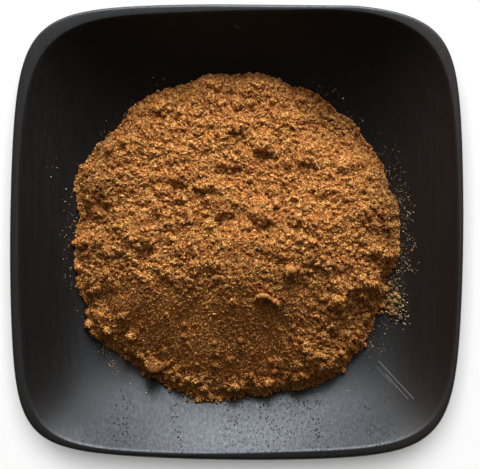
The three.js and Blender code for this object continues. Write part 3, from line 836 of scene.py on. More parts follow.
def relief_tree():
    """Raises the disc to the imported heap's form and roughens it with ledges, lumps and crumbs."""
    sizes = ("Swell Height", "Lump Size", "Lump Height", "Crumb Size", "Crumb Height", "Crease Depth",
             "Grit Height", "Seed")
    tree, add, entry = new_tree("Spice Relief", ("Form", "Object"),
                                *((size, "Float") for size in sizes), ("Material", "Material"))
    place = add("GeometryNodeInputPosition")
    flat = add("ShaderNodeVectorMath.MULTIPLY", place, (1, 1, 0))
    own = add("ShaderNodeSeparateXYZ", place).outputs
    seed = entry["Seed"]

    # the underside, marked by a negative depth, stays as it is
    inset = add("GeometryNodeInputNamedAttribute", "inwards")
    is_top = add("FunctionNodeCompare.GREATER_THAN", inset, -0.5)
    thinning = add("ShaderNodeMath.POWER", add(
        "ShaderNodeMath.DIVIDE", inset, EDGE_ROUNDING, use_clamp=True), EDGE_POWER)

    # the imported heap's own form, looked up from above
    form = add("GeometryNodeObjectInfo", {"Object": entry["Form"]}).outputs["Geometry"]
    inwards = add("ShaderNodeVectorMath.MULTIPLY", place, STEP_INWARDS)
    ray = add("GeometryNodeRaycast", {
        "Target Geometry": form, "Ray Direction": (0, 0, -1), "Ray Length": 3 * BOWL_HIGH.z,
        "Source Position": add("ShaderNodeVectorMath.ADD", inwards, (0.0, 0.0, 2 * BOWL_HIGH.z))})
    hit = add("ShaderNodeSeparateXYZ", ray.outputs["Hit Position"]).outputs["Z"]
    found = add("GeometryNodeSwitch", {
        "Switch": ray.outputs["Is Hit"], "False": own["Z"], "True": hit}, input_type="FLOAT")

    # where the powder slid, on the near left slope, it lies smooth, except along its foot
    slid_y = add("ShaderNodeMapRange.SMOOTHSTEP", own["Y"], -11 * MM, -24 * MM)
    slid_x = add("ShaderNodeMapRange.SMOOTHSTEP", own["X"], 34 * MM, 8 * MM)
    reach = add("ShaderNodeVectorMath.LENGTH", add(
        "ShaderNodeVectorMath.SUBTRACT", flat, HEAP_MIDDLE))
    foot = add("ShaderNodeMapRange.SMOOTHSTEP", reach, 42 * MM, 47 * MM)
    calm = add("ShaderNodeMath.MULTIPLY", add("ShaderNodeMath.MULTIPLY", slid_y, slid_x),
               add("ShaderNodeMath.SUBTRACT", 1.0, foot))
    rough = add("ShaderNodeMath.SUBTRACT", 1.0, add(
        "ShaderNodeMath.MULTIPLY", calm, 1 - SLID_ROUGHNESS))

    # the form's own level, evened where it slid, fuller down the near slope, thinner at the edge
    level = add("GeometryNodeBlurAttribute", found, LEVELLING)
    even = add("GeometryNodeBlurAttribute", level, EVENING)
    even = add("ShaderNodeMath.SUBTRACT", even, level)
    level = add("ShaderNodeMath.MULTIPLY_ADD", even, calm, level)
    down = add("ShaderNodeMath.POWER", add(
        "ShaderNodeMath.DIVIDE", inset, NEAR_SLOPE, use_clamp=True), 1.5)
    bulge = add("ShaderNodeMath.SINE", add("ShaderNodeMath.MULTIPLY", down, math.pi))
    bulge = add("ShaderNodeMath.MULTIPLY", bulge, add(
        "ShaderNodeMapRange.SMOOTHSTEP", own["Y"], -6 * MM, -24 * MM))
    level = add("ShaderNodeMath.MULTIPLY_ADD", bulge, NEAR_BULGE * MM, level)
    near = add("ShaderNodeMapRange.SMOOTHSTEP", own["Y"], -18 * MM, -36 * MM)
    sink = add("ShaderNodeMapRange.SMOOTHSTEP", inset, 17.0, 4.0)
    sink = add("ShaderNodeMath.MULTIPLY", sink, FOOT_SINK * MM)
    fall = add("ShaderNodeMapRange.SMOOTHSTEP", inset, 11.0, 2.0)
    fall = add("ShaderNodeMath.MULTIPLY", fall, EDGE_SINK * MM)
    fall = add("ShaderNodeMath.MULTIPLY_ADD", near, add("ShaderNodeMath.SUBTRACT", sink, fall), fall)
    level = add("ShaderNodeMath.SUBTRACT", level, fall)

    # relief, all of it bent by noise so that nothing is round or straight
    def bent(width, amount):
        bend = add("ShaderNodeTexNoise.4D", {
            "Vector": flat, "W": seed, "Scale": 1 / (width * MM), "Detail": 3.0})
        shift = add("ShaderNodeVectorMath.SUBTRACT", bend.outputs["Color"], (0.5, 0.5, 0.5))
        shift = add("ShaderNodeVectorMath.MULTIPLY", shift, (amount * MM,) * 3)
        return add("ShaderNodeVectorMath.ADD", flat, shift)

    crooked = bent(2.6, 2.4)
    uneven = bent(0.9, 0.7)

    def domes(where, size, height, fill, rarity):
        """Round crumbs of uneven height, one in each cell."""
        cell = add("ShaderNodeTexVoronoi", {
            "Vector": where, "Scale": add("ShaderNodeMath.DIVIDE", 1.0, size), "Randomness": 1.0},
            voronoi_dimensions="2D", feature="F1")
        chance = add("FunctionNodeSeparateColor", {"Color": cell.outputs["Color"]})
        width = add("ShaderNodeMath.MULTIPLY_ADD", chance.outputs["Green"], fill * 0.5, fill * 0.5)
        share = add("ShaderNodeMath.DIVIDE", cell, width)
        dome = add("ShaderNodeMath.SUBTRACT", 1.0, add("ShaderNodeMath.POWER", share, 2.0),
                   use_clamp=True)
        dome = add("ShaderNodeMath.POWER", dome, 0.8)
        rise = add("ShaderNodeMath.POWER", chance.outputs["Red"], rarity)
        rise = add("ShaderNodeMath.MULTIPLY_ADD", rise, 0.85, 0.15)
        return add("ShaderNodeMath.MULTIPLY", add("ShaderNodeMath.MULTIPLY", dome, rise), height)

    lumps = domes(crooked, entry["Lump Size"], entry["Lump Height"], 0.72, 2.6)
    crumbs = domes(crooked, entry["Crumb Size"], entry["Crumb Height"], 0.66, 1.6)
    half_size = add("ShaderNodeMath.MULTIPLY", entry["Crumb Size"], 0.52)
    half_height = add("ShaderNodeMath.MULTIPLY", entry["Crumb Height"], 0.6)
    small = domes(uneven, half_size, half_height, 0.7, 1.2)

    swell = add("ShaderNodeTexNoise.4D", {
        "Vector": place, "W": seed, "Scale": 1 / SWELL_WIDTH, "Detail": 1.0})
    swell = add("ShaderNodeMath.SUBTRACT", swell, 0.5)
    swell = add("ShaderNodeMath.MULTIPLY", swell, entry["Swell Height"])
    winding = add("ShaderNodeVectorMath.MULTIPLY", crooked, (1 / CREASE_LENGTH, 1 / CREASE_WIDTH, 0.0))
    crease = add("ShaderNodeTexNoise.4D", {
        "Vector": winding, "W": seed, "Scale": 1.0, "Detail": 2.0, "Roughness": 0.55})
    crease = add("ShaderNodeMath.MULTIPLY_ADD", crease, 2.0, -1.0)
    crease = add("ShaderNodeMath.MULTIPLY", add("ShaderNodeMath.ABSOLUTE", crease),
                 CREASE_SHARPNESS, use_clamp=True)
    crease = add("ShaderNodeMath.MULTIPLY", add("ShaderNodeMath.POWER", crease, 0.6),
                 entry["Crease Depth"])
    grit = add("ShaderNodeTexNoise.4D", {
        "Vector": flat, "W": seed, "Scale": 1 / GRIT_WIDTH, "Detail": 3.0, "Roughness": 0.7})
    grit = add("ShaderNodeMath.SUBTRACT", grit, 0.5)
    grit = add("ShaderNodeMath.MULTIPLY", grit, entry["Grit Height"])

    # the ledges, high on their far side and low on their near side, the clumps and the swells
    placed = 0.0
    for x, y, length, lean, drop in LEDGES:
        sideways, upwards = own_axes(add, crooked, x, y, lean, length, LEDGE_BREAK)
        taper = add("ShaderNodeMath.SUBTRACT", 1.0, add(
            "ShaderNodeMath.MULTIPLY", sideways, sideways), use_clamp=True)
        run = add("ShaderNodeMath.MULTIPLY", add("ShaderNodeMath.ABSOLUTE", upwards),
                  -LEDGE_BREAK / LEDGE_RUN)
        form = add("ShaderNodeMath.MULTIPLY", add("ShaderNodeMath.TANH", upwards),
                   add("ShaderNodeMath.EXPONENT", run))
        form = add("ShaderNodeMath.MULTIPLY", form, add("ShaderNodeMath.POWER", taper, 1.5))
        placed = add("ShaderNodeMath.MULTIPLY_ADD", form, LEDGE_SHARE * drop * MM, placed)
    for x, y, radius, height in CLUMPS:
        offset = add("ShaderNodeVectorMath.SUBTRACT", crooked, (x * MM, y * MM, 0.0))
        share = add("ShaderNodeMath.DIVIDE", add("ShaderNodeVectorMath.LENGTH", offset), radius * MM)
        form = add("ShaderNodeMath.SUBTRACT", 1.0, add("ShaderNodeMath.POWER", share, 3.0),
                   use_clamp=True)
        form = add("ShaderNodeMath.POWER", form, 0.7)
        placed = add("ShaderNodeMath.MULTIPLY_ADD", form, height * MM, placed)
    for *oval, height in SWELLS:
        placed = add("ShaderNodeMath.MULTIPLY_ADD", bell(add, crooked, *oval), height * MM, placed)

    coarse = add("ShaderNodeMath.ADD", add("ShaderNodeMath.ADD", lumps, crease),
                 add("ShaderNodeMath.ADD", crumbs, swell))
    coarse = add("ShaderNodeMath.SUBTRACT", coarse, MEAN_RELIEF)
    coarse = add("ShaderNodeMath.MULTIPLY", coarse, rough)
    fine = add("ShaderNodeMath.MULTIPLY_ADD", rough, 1 - SLID_GRIT, SLID_GRIT)
    fine = add("ShaderNodeMath.MULTIPLY", add("ShaderNodeMath.ADD", grit, small), fine)
    relief = add("ShaderNodeMath.ADD", add("ShaderNodeMath.ADD", coarse, fine), placed)
    thickness = add("ShaderNodeMath.SUBTRACT", add("ShaderNodeMath.ADD", level, relief), own["Z"])
    thickness = add("ShaderNodeMath.MAXIMUM", thickness, LEAST_THICKNESS)
    thickness = add("ShaderNodeMath.MULTIPLY", thickness, thinning)

    top = add("ShaderNodeMath.ADD", own["Z"], thickness)
    top = add("ShaderNodeMath.SMOOTH_MIN", top, HEAP_HIGH.z - HEAD_ROOM, TOP_ROUNDING)
    raised = add("ShaderNodeVectorMath.ADD", flat, add("ShaderNodeCombineXYZ", {"Z": top}))
    marked = add("GeometryNodeSetPosition", {
        "Geometry": entry["Geometry"], "Selection": is_top, "Position": raised})
    # the relief against its surroundings, kept for the powder's colour, which paints shade into its
    # hollows
    around = add("GeometryNodeBlurAttribute", relief, RELIEF_BLUR)
    depth = add("ShaderNodeMath.SUBTRACT", relief, around)
    depth = add("ShaderNodeMath.DIVIDE", depth, MM)
    for name, value in (("relief", depth), ("calm", calm)):
        marked = add("GeometryNodeStoreNamedAttribute", {
            "Geometry": marked, "Name": name, "Value": value})
    close_tree(add, marked, entry["Material"])
    return tree


# Painted shade: patches along the heap's far edge, where the far rim's shadow falls, and along its
# upper right, right and left edges, where the powder lies in shade. The powder's colour is scaled down
# in them.
PAINTED_SHADE_PATCHES = (
    # x, y, half-length, half-width, lean in degrees, share taken off; lengths in millimetres
    (32.0, 38.0, 15.0, 6.0, -40, 0.36),
    (48.0, 12.0, 6.0, 14.0, 0, 0.40),
    (0.0, 51.0, 32.0, 4.0, 0, 0.34),
    (-44.0, 14.0, 9.0, 17.0, 0, 0.20),
)
TINT_WIDTH = 3.5 * MM
REDDER, YELLOWER = (1.0, 0.90, 0.84, 1.0), (1.0, 1.05, 0.98, 1.0)


def tint_and_painted_shade(add, where, colour):
    """Shifts a colour towards red here and yellow there, and paints shade into it: it is dimmed in
    patches along the heap's far and side edges, where the far rim's shadow and the edges' shade fall.
    """
    flat = add("ShaderNodeVectorMath.MULTIPLY", where, (1, 1, 0))
    kept = 1.0
    # painted shade: each patch takes its share off the colour
    for *oval, share in PAINTED_SHADE_PATCHES:
        kept = add("ShaderNodeMath.MULTIPLY_ADD", bell(add, flat, *oval), -share, kept)
    darker = add("ShaderNodeVectorMath.SCALE", colour, kept)
    patch = add("ShaderNodeTexNoise", {
        "Vector": where, "Scale": 1 / TINT_WIDTH, "Detail": 2.0, "Roughness": 0.6})
    tint = with_stops(add("ShaderNodeValToRGB", patch), (0.36, REDDER), (0.64, YELLOWER))
    return add("ShaderNodeMix.RGBA", 1.0, darker, tint, blend_type="MULTIPLY")


def packed_powder():
    """Packed ground spice: matt warm brown, with painted shade making it deeper and redder in the
    relief's creases and paler on its tops.
    """
    material, add = new_material("packed_powder")
    where = add("ShaderNodeTexCoord").outputs["Object"]
    relief = add("ShaderNodeAttribute", attribute_name="relief").outputs["Fac"]
    # painted shade: the colour follows the relief, dark brown in its hollows and pale on its tops
    height = add("ShaderNodeMapRange", relief, -0.45, 0.45)
    specks = add("ShaderNodeTexNoise", {
        "Vector": where, "Scale": 1 / (0.45 * MM), "Detail": 2.0, "Roughness": 0.7})
    mixed = add("ShaderNodeMath.ADD", specks, height)
    halved = add("ShaderNodeMath.MULTIPLY", mixed, 0.5)
    colour = with_stops(add("ShaderNodeValToRGB", halved), (0.25, linear("#5c2c0c")),
                        (0.5, linear("#98602c")), (0.75, linear("#c69456")))
    fine = add("ShaderNodeTexNoise", {
        "Vector": where, "Scale": 1 / (0.3 * MM), "Detail": 3.0, "Roughness": 0.7})
    bump = add("ShaderNodeBump", {"Height": fine, "Strength": 0.6, "Distance": 0.2 * MM})
    close_material(add, {
        "Base Color": tint_and_painted_shade(add, where, colour), "Roughness": 0.95, "Specular IOR Level": 0.2,
        "Normal": bump})
    return material


class SPICEBOWL_OT_heap(bpy.types.Operator):
    """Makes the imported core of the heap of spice"""

    bl_idname = "spicebowl.heap"
    bl_label = "Heap Core"

    def execute(self, context):
        s = context.scene.spicebowl_heap
        blank = heap_blank(s, context.scene.spicebowl_bowl)
        core = settle(blank, relief_tree(), {
            "Form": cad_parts["spice_heap"], "Swell Height": s.swell_height,
            "Lump Size": s.lump_size, "Lump Height": s.lump_height,
            "Crumb Size": s.crumb_size, "Crumb Height": s.crumb_height,
            "Crease Depth": s.crease_depth, "Grit Height": s.grit_height,
            "Seed": float(s.seed), "Material": packed_powder()}, "spice_core")
        finish_piece(core, "spice_heap", slot="ground_spice")
        return {"FINISHED"}


# ------------------------------------------------------------------------------ loose grains
FACING = 0.05  # grains lie on faces that look up by at least this much
PER_SQUARE_MM = 1 / MM ** 2


def dented(add, ball, depth, variants):
    """Instances of a ball whose points are moved at random, each variant in its own way."""
    kept = []
    for variant in range(variants):
        dents = add("FunctionNodeRandomValue.FLOAT_VECTOR", (-depth,) * 3, (depth,) * 3,
                    {"Seed": variant})
        moved = add("GeometryNodeSetPosition", {"Geometry": ball, "Offset": dents})
        kept.append(add("GeometryNodeGeometryToInstance", moved))
    return add("GeometryNodeJoinGeometry", kept)


def grit(add):
    """Coarse grains of twenty faces."""
    ball = add("GeometryNodeMeshIcoSphere", {"Radius": 1.0, "Subdivisions": 1})
    return dented(add, ball, 0.28, 3)


def slivers(add):
    """Fine grains of eight faces."""
    ball = add("GeometryNodeMeshUVSphere", {"Segments": 4, "Rings": 2, "Radius": 1.0})
    return dented(add, ball, 0.28, 3)


def crumbs(add):
    """Round crumbs of powder that clung together, of eighty faces."""
    ball = add("GeometryNodeMeshIcoSphere", {"Radius": 1.0, "Subdivisions": 2})
    return dented(add, ball, 0.16, 4)


def clods(add):
    """Round clods of fine powder, of 320 faces."""
    ball = add("GeometryNodeMeshIcoSphere", {"Radius": 1.0, "Subdivisions": 3})
    return dented(add, ball, 0.07, 4)


def fibres(add):
    """Thin bent plant fibres, one unit long."""
    ring = add("GeometryNodeCurvePrimitiveCircle", {"Resolution": 3, "Radius": 0.03})
    kept = []
    for bow in (0.03, 0.1, 0.2):
        curve = add("GeometryNodeCurveQuadraticBezier", {
            "Resolution": 5, "Start": (-0.5, 0, 0), "Middle": (0, bow, bow / 2), "End": (0.5, 0, 0)})
        tube = add("GeometryNodeCurveToMesh", {
            "Curve": curve, "Profile Curve": ring, "Fill Caps": True})
        kept.append(add("GeometryNodeGeometryToInstance", tube))
    return add("GeometryNodeJoinGeometry", kept)


def all_over(add, entry, facing, bed):
    """Amount pieces in all, thinner where the powder slid and lies smooth."""
    calm = add("GeometryNodeInputNamedAttribute", "calm")
    share = add("ShaderNodeMath.MULTIPLY_ADD", calm, -0.15, 1.0)
    weight = add("ShaderNodeMath.MULTIPLY", add("GeometryNodeInputMeshFaceArea"), share)
    weight = add("ShaderNodeMath.MULTIPLY", weight, facing)
    total = add("GeometryNodeAttributeStatistic", {"Geometry": bed, "Attribute": weight},
                domain="FACE").outputs["Sum"]
    return add("ShaderNodeMath.DIVIDE", add("ShaderNodeMath.MULTIPLY", entry["Amount"], share), total)


def along_foot(add, entry, facing, bed):
    """Amount per square millimetre along the near foot of the heap, and few elsewhere."""
    place = add("ShaderNodeSeparateXYZ", add("GeometryNodeInputPosition"))
    near = add("ShaderNodeMapRange.SMOOTHSTEP", place.outputs["Y"], -18 * MM, -36 * MM)
    near = add("ShaderNodeMath.MULTIPLY_ADD", near, 0.88, 0.12)
    inset = add("GeometryNodeInputNamedAttribute", "inwards")
    low = add("ShaderNodeMapRange.SMOOTHSTEP", inset, 8.0, 1.0)
    low = add("ShaderNodeMath.MULTIPLY_ADD", low, 0.93, 0.07)
    share = add("ShaderNodeMath.MULTIPLY", near, low)
    share = add("ShaderNodeMath.MULTIPLY", share, entry["Amount"])
    return add("ShaderNodeMath.MULTIPLY", share, PER_SQUARE_MM)


def in_zones(zones):
    """Amount per square millimetre in zones round line pieces, thinning out from their middles."""
    def amount(add, entry, facing, bed):
        place = add("GeometryNodeInputPosition")
        flat = add("ShaderNodeVectorMath.MULTIPLY", place, (1 / MM, 1 / MM, 0.0))
        total = 0.0
        for start, end, width, share in zones:
            away = distance_to_line(add, flat, start, end)
            zone = add("ShaderNodeMapRange.SMOOTHSTEP", away, width, 0.25 * width)
            total = add("ShaderNodeMath.MULTIPLY_ADD", zone, share, total)
        total = add("ShaderNodeMath.MULTIPLY", total, entry["Amount"])
        return add("ShaderNodeMath.MULTIPLY", total, PER_SQUARE_MM)
    return amount


def two_beds(add, entry):
    """The surfaces of one or two objects, joined."""
    return add("GeometryNodeJoinGeometry", [
        add("GeometryNodeObjectInfo", {"Object": entry[label]}).outputs["Geometry"]
        for label in ("Bed", "Second Bed")])


def strewing_tree(name, shapes, amount, lying=False):
    """Strews shapes over a bed, turned and sized at random; fibres lie along the surface."""
    tree, add, entry = new_tree(
        name, ("Bed", "Object"), ("Second Bed", "Object"), ("Amount", "Float"),
        ("Smallest", "Float"), ("Largest", "Float"), ("Rarity", "Float"), ("Stretch", "Float"),
        ("Lift", "Float"), ("Seed", "Int"), ("Material", "Material"))
    bed = two_beds(add, entry)
    upward = add("ShaderNodeSeparateXYZ", add("GeometryNodeInputNormal")).outputs["Z"]
    facing = add("FunctionNodeCompare.GREATER_THAN", upward, FACING)
    points = add("GeometryNodeDistributePointsOnFaces", {
        "Mesh": bed, "Selection": facing, "Density": amount(add, entry, facing, bed),
        "Seed": entry["Seed"]})

    def chance(low, high, number):
        kind = "FLOAT" if isinstance(low, float) else "FLOAT_VECTOR"
        seed = add("ShaderNodeMath.ADD", entry["Seed"], float(number))
        return add("FunctionNodeRandomValue." + kind, low, high, {"Seed": seed})

    # in the smooth powder the grains lie deeper
    calm = add("GeometryNodeInputNamedAttribute", "calm")
    loose = add("ShaderNodeMath.MULTIPLY_ADD", calm, -0.7, 1.0)
    toned = add("GeometryNodeStoreNamedAttribute", {
        "Geometry": points, "Name": "tone", "Value": chance(0.0, 1.0, 100)})
    lift = add("ShaderNodeVectorMath.SCALE", points.outputs["Normal"], add(
        "ShaderNodeMath.MULTIPLY", entry["Lift"], loose))
    raised = add("GeometryNodeSetPosition", {"Geometry": toned, "Offset": lift})

    spin = chance((0.0, 0.0, 0.0), (2 * math.pi,) * 3, 200)
    if lying:
        about = add("ShaderNodeCombineXYZ", {
            "Z": add("ShaderNodeSeparateXYZ", spin).outputs["Z"]})
        turn = add("FunctionNodeRotateRotation", {
            "Rotation": points.outputs["Rotation"],
            "Rotate By": add("FunctionNodeEulerToRotation", about)}, rotation_space="LOCAL")
    else:
        turn = add("FunctionNodeEulerToRotation", spin)
    skewed = add("ShaderNodeMath.POWER", chance(0.0, 1.0, 300), entry["Rarity"])
    size = add("ShaderNodeMapRange", {
        "Value": skewed, "To Min": entry["Smallest"], "To Max": entry["Largest"]})
    uneven = (1.0, 1.0, 1.0) if lying else chance((0.6,) * 3, (1.15,) * 3, 400)
    longer = add("ShaderNodeCombineXYZ", entry["Stretch"], 1.0, 1.0)
    scale = add("ShaderNodeVectorMath.SCALE", longer, size)
    scale = add("ShaderNodeVectorMath.MULTIPLY", scale, uneven)
    strewn = add("GeometryNodeInstanceOnPoints", {
        "Points": raised, "Instance": shapes(add), "Pick Instance": True, "Rotation": turn,
        "Scale": scale})
    close_tree(add, strewn, entry["Material"])
    return tree


def dry_spice(name, dark, light):
    """Dry ground bark, root or bud: matt, each grain of its own shade between dark and light."""
    material, add = new_material(name)
    where = add("ShaderNodeTexCoord").outputs["Object"]
    tone = add("ShaderNodeAttribute", attribute_name="tone").outputs["Fac"]
    colour = with_stops(add("ShaderNodeValToRGB", tone), (0.0, linear(dark)), (1.0, linear(light)))
    close_material(add, {
        "Base Color": tint_and_painted_shade(add, where, colour), "Roughness": 0.9, "Specular IOR Level": 0.25})
    return material


def clung_powder():
    """Fine powder clung together in clods: matt and mottled, with a fine grain."""
    material, add = new_material("clung_powder")
    where = add("ShaderNodeTexCoord").outputs["Object"]
    tone = add("ShaderNodeAttribute", attribute_name="tone").outputs["Fac"]
    specks = add("ShaderNodeTexNoise", {
        "Vector": where, "Scale": 1 / (0.5 * MM), "Detail": 2.0, "Roughness": 0.8})
    specks = add("ShaderNodeMath.SUBTRACT", specks, 0.5)
    tone = add("ShaderNodeMath.MULTIPLY_ADD", specks, 2.4, tone, use_clamp=True)
    colour = with_stops(add("ShaderNodeValToRGB", tone),
                        (0.0, linear("#5e3310")), (1.0, linear("#b67c40")))
    fine = add("ShaderNodeTexNoise", {
        "Vector": where, "Scale": 1 / (0.35 * MM), "Detail": 3.0, "Roughness": 0.7})
    bump = add("ShaderNodeBump", {"Height": fine, "Strength": 1.0, "Distance": 0.4 * MM})
    close_material(add, {
        "Base Color": tint_and_painted_shade(add, where, colour), "Roughness": 0.9, "Specular IOR Level": 0.25,
        "Normal": bump})
    return material


def strew(tree, name, material, **values):
    """Runs a strewing tree. Values are the tree's inputs, lengths in metres."""
    holder = mesh_object(name, [(0, 0, 0)], [])
    labels = {label.replace("_", " ").title(): value for label, value in values.items()}
    return settle(holder, tree, {"Material": material, **labels}, name)


def merged(name, *pieces):
    """Several objects' meshes as one object, which keeps the material of the first."""
    mesh = bmesh.new()
    for piece in pieces:
        mesh.from_mesh(piece.data)
    whole = pieces[0]
    mesh.to_mesh(whole.data)
    mesh.free()
    for piece in pieces[1:]:
        bpy.data.objects.remove(piece)
    whole.name = name
    whole.data.name = name
    return whole


NEAR_EDGE_DIRECTIONS = (196, 337, 10)  # first, past the last, and step, in degrees
NEAR_EDGE_WIDTH = 1.3


def near_edge():
    """Zones along the heap's near edge, in millimetres, one for each short piece of it."""
    middle, radius = heap_outline()
    angle = np.radians(np.arange(*NEAR_EDGE_DIRECTIONS))
    edge = edge_radius(radius, angle) + 0.2 * MM
    points = np.column_stack((middle[0] + edge * np.cos(angle), middle[1] + edge * np.sin(angle)))
    points = [tuple(map(float, point)) for point in points / MM]
    return [(start, end, NEAR_EDGE_WIDTH, 1.0) for start, end in zip(points, points[1:])]


ROUND_CRUMBS = (
    # x, y, radius; millimetres; under the loose grains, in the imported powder's own colour
    (11.7, -11.7, 1.1),
    (46.6, -22.6, 0.8),
    (-6.5, -34.5, 0.9),
    (37.6, -33.2, 0.95),
    (-44.6, -25.6, 0.9),
    (-42.8, -31.4, 1.1),
    (-37.4, -36.8, 0.9),
    (-12.8, -46.6, 1.1),
    (-34.4, -40.2, 1.0),
    (5.0, -45.0, 1.1),
    (20.6, -44.4, 1.2),
    (-18.6, -46.0, 1.2),
    (-29.8, -40.6, 1.1),
    (-21.6, -41.6, 1.0),
)
BARE_CLODS = (
    # x, y, radius in millimetres, shade from 0 dark to 1 light; on top of the loose grains
    (-25.6, -43.0, 2.5, 0.2),
    (6.2, -20.7, 0.8, 0.6),
    (7.0, -19.9, 0.95, 0.75),
    (8.0, -19.5, 1.0, 0.8),
    (9.0, -19.6, 0.95, 0.75),
    (10.0, -20.1, 0.95, 0.7),
    (11.0, -20.7, 1.0, 0.6),
    (12.0, -21.3, 1.0, 0.65),
    (12.8, -22.1, 0.9, 0.6),
    (13.1, -23.0, 0.7, 0.5),
    (17.1, -11.8, 1.35, 0.8),
    (18.7, -11.0, 0.9, 0.6),
    (47.3, -17.6, 1.2, 0.8),
    (50.4, -19.2, 0.8, 0.9),
    (48.6, -23.6, 0.8, 0.7),
    (38.4, -31.8, 0.9, 0.8),
    (41.2, -32.4, 0.7, 0.9),
    (39.6, -34.6, 0.8, 0.7),
    (12.3, -43.6, 1.1, 0.6),
    (-41.7, -33.6, 0.9, 0.7),
    (-44.8, -29.8, 0.9, 0.6),
    (1.5, -34.0, 0.9, 0.3),
    (-1.7, -49.6, 1.1, 0.5),
    (-34.7, -38.4, 0.9, 0.3),
    (-13.1, -48.4, 1.0, 0.4),
)


PILE_ZONES = (((46.4, -15.6), (49.8, -23.4), 3.8, 1.0),)


def round_crumbs_tree(name, shapes):
    """Sets round crumbs at given points, half sunk in the bed below them."""
    tree, add, entry = new_tree(name, ("Bed", "Object"), ("Second Bed", "Object"),
                                ("Seed", "Int"), ("Material", "Material"))
    radius = add("GeometryNodeInputNamedAttribute", "radius")
    above = add("ShaderNodeVectorMath.ADD", add("GeometryNodeInputPosition"), (0, 0, 0.1))
    ray = add("GeometryNodeRaycast", {
        "Target Geometry": two_beds(add, entry), "Source Position": above,
        "Ray Direction": (0, 0, -1), "Ray Length": 0.2})
    rise = add("ShaderNodeMath.MULTIPLY", radius, 0.35)
    rise = add("ShaderNodeMath.MINIMUM", rise, 0.35 * MM)
    seat = add("ShaderNodeVectorMath.ADD", ray.outputs["Hit Position"],
               add("ShaderNodeCombineXYZ", {"Z": rise}))
    seated = add("GeometryNodeSetPosition", {"Geometry": entry["Geometry"], "Position": seat})
    turn = add("FunctionNodeRandomValue.FLOAT_VECTOR", (0, 0, 0), (2 * math.pi,) * 3,
               {"Seed": entry["Seed"]})
    flatter = add("ShaderNodeMath.MULTIPLY", radius, 0.85)
    placed = add("GeometryNodeInstanceOnPoints", {
        "Points": seated, "Instance": shapes(add), "Pick Instance": True,
        "Rotation": add("FunctionNodeEulerToRotation", turn),
        "Scale": add("ShaderNodeCombineXYZ", radius, radius, flatter)})
    close_tree(add, placed, entry["Material"])
    return tree


def set_down(name, table, shapes, material, seed):
    """Places round crumbs by a table of x, y, radius and perhaps shade, on the heap or the wood."""
    holder = mesh_object(name, [(row[0] * MM, row[1] * MM, 0) for row in table], [])
    columns = {"radius": [row[2] * MM for row in table], "tone": [row[-1] for row in table]}
    for label, values in columns.items():
        attribute = holder.data.attributes.new(label, "FLOAT", "POINT")
        attribute.data.foreach_set("value", values)
    return settle(holder, round_crumbs_tree(name, shapes), {
        "Bed": bpy.data.objects["spice_core"], "Second Bed": bpy.data.objects["wooden_bowl"],
        "Seed": seed, "Material": material}, name)


class SPICEBOWL_OT_crumbs(bpy.types.Operator):
    """Lays crumbs of clung powder along the near foot of the heap and in a small pile beside it"""

    bl_idname = "spicebowl.crumbs"
    bl_label = "Crumbs"

    def execute(self, context):
        s = context.scene.spicebowl_grains
        bowl = bpy.data.objects["wooden_bowl"]
        powder = bpy.data.materials["packed_powder"]
        placed = set_down("Placed", ROUND_CRUMBS, crumbs, powder, s.seed + 23)
        foot = strew(strewing_tree("Foot Crumbs", crumbs, along_foot), "Foot", powder,
                     bed=bpy.data.objects["spice_core"], amount=s.crumb_amount,
                     smallest=0.35 * MM, largest=1.5 * MM, rarity=2.6, stretch=1.15,
                     lift=0.1 * MM, seed=s.seed + 20)
        edge = strew(strewing_tree("Edge Crumbs", crumbs, in_zones(near_edge())), "Edge", powder,
                     bed=bowl, amount=s.edge_amount, smallest=0.2 * MM, largest=0.9 * MM,
                     rarity=2.4, stretch=1.15, lift=0.25 * MM, seed=s.seed + 22)
        joined = merged("foot_crumbs", placed, foot, edge)
        pile = strew(strewing_tree("Pile Crumbs", crumbs, in_zones(PILE_ZONES)), "pile_crumbs",
                     dry_spice("pile_crumbs", "#20130a", "#a88452"), bed=bowl,
                     amount=s.pile_amount, smallest=0.16 * MM, largest=0.8 * MM, rarity=2.2,
                     stretch=1.3, lift=0.25 * MM, seed=s.seed + 21)
        bare = set_down("bare_clods", BARE_CLODS, clods, clung_powder(), s.seed + 25)
        joined.data.shade_smooth()
        bare.data.shade_smooth()
        for piece in (joined, pile, bare):
            finish_piece(piece, slot="ground_spice")
        return {"FINISHED"}


GRAIN_KINDS = (
    # name, count setting, smallest and largest radius, stretch, dark and light colour
    ("cinnamon_grains", "cinnamon", 0.17, 0.40, 1.7, "#955b26", "#c0813f"),
    ("ginger_grains", "ginger", 0.16, 0.38, 1.3, "#b27a3d", "#dcab69"),
    ("clove_grains", "clove", 0.15, 0.34, 1.3, "#6c3d18", "#8d5428"),
    ("fine_light_powder", "powder", 0.15, 0.30, 1.6, "#b57d40", "#dbac6a"),
    ("fine_dark_powder", "powder", 0.14, 0.28, 1.6, "#70401b", "#9c622d"),
)


class SPICEBOWL_OT_grains(bpy.types.Operator):
    """Strews the loose grains of each spice over the heap"""

    bl_idname = "spicebowl.grains"
    bl_label = "Loose Grains"

    def execute(self, context):
        s = context.scene.spicebowl_grains
        coarse = strewing_tree("Coarse Grains", grit, all_over)
        fine = strewing_tree("Fine Grains", slivers, all_over)
        for number, kind in enumerate(GRAIN_KINDS):
            name, setting, smallest, largest, stretch, dark, light = kind
            piece = strew(fine if setting == "powder" else coarse, name,
                          dry_spice(name, dark, light), bed=bpy.data.objects["spice_core"],
                          second_bed=bpy.data.objects["foot_crumbs"],
                          amount=float(getattr(s, setting)), smallest=smallest * MM,
                          largest=largest * MM, rarity=1.5, stretch=stretch, lift=0.14 * MM,
                          seed=s.seed + number)
            piece.data.shade_flat()
            finish_piece(piece, slot="ground_spice")
        return {"FINISHED"}


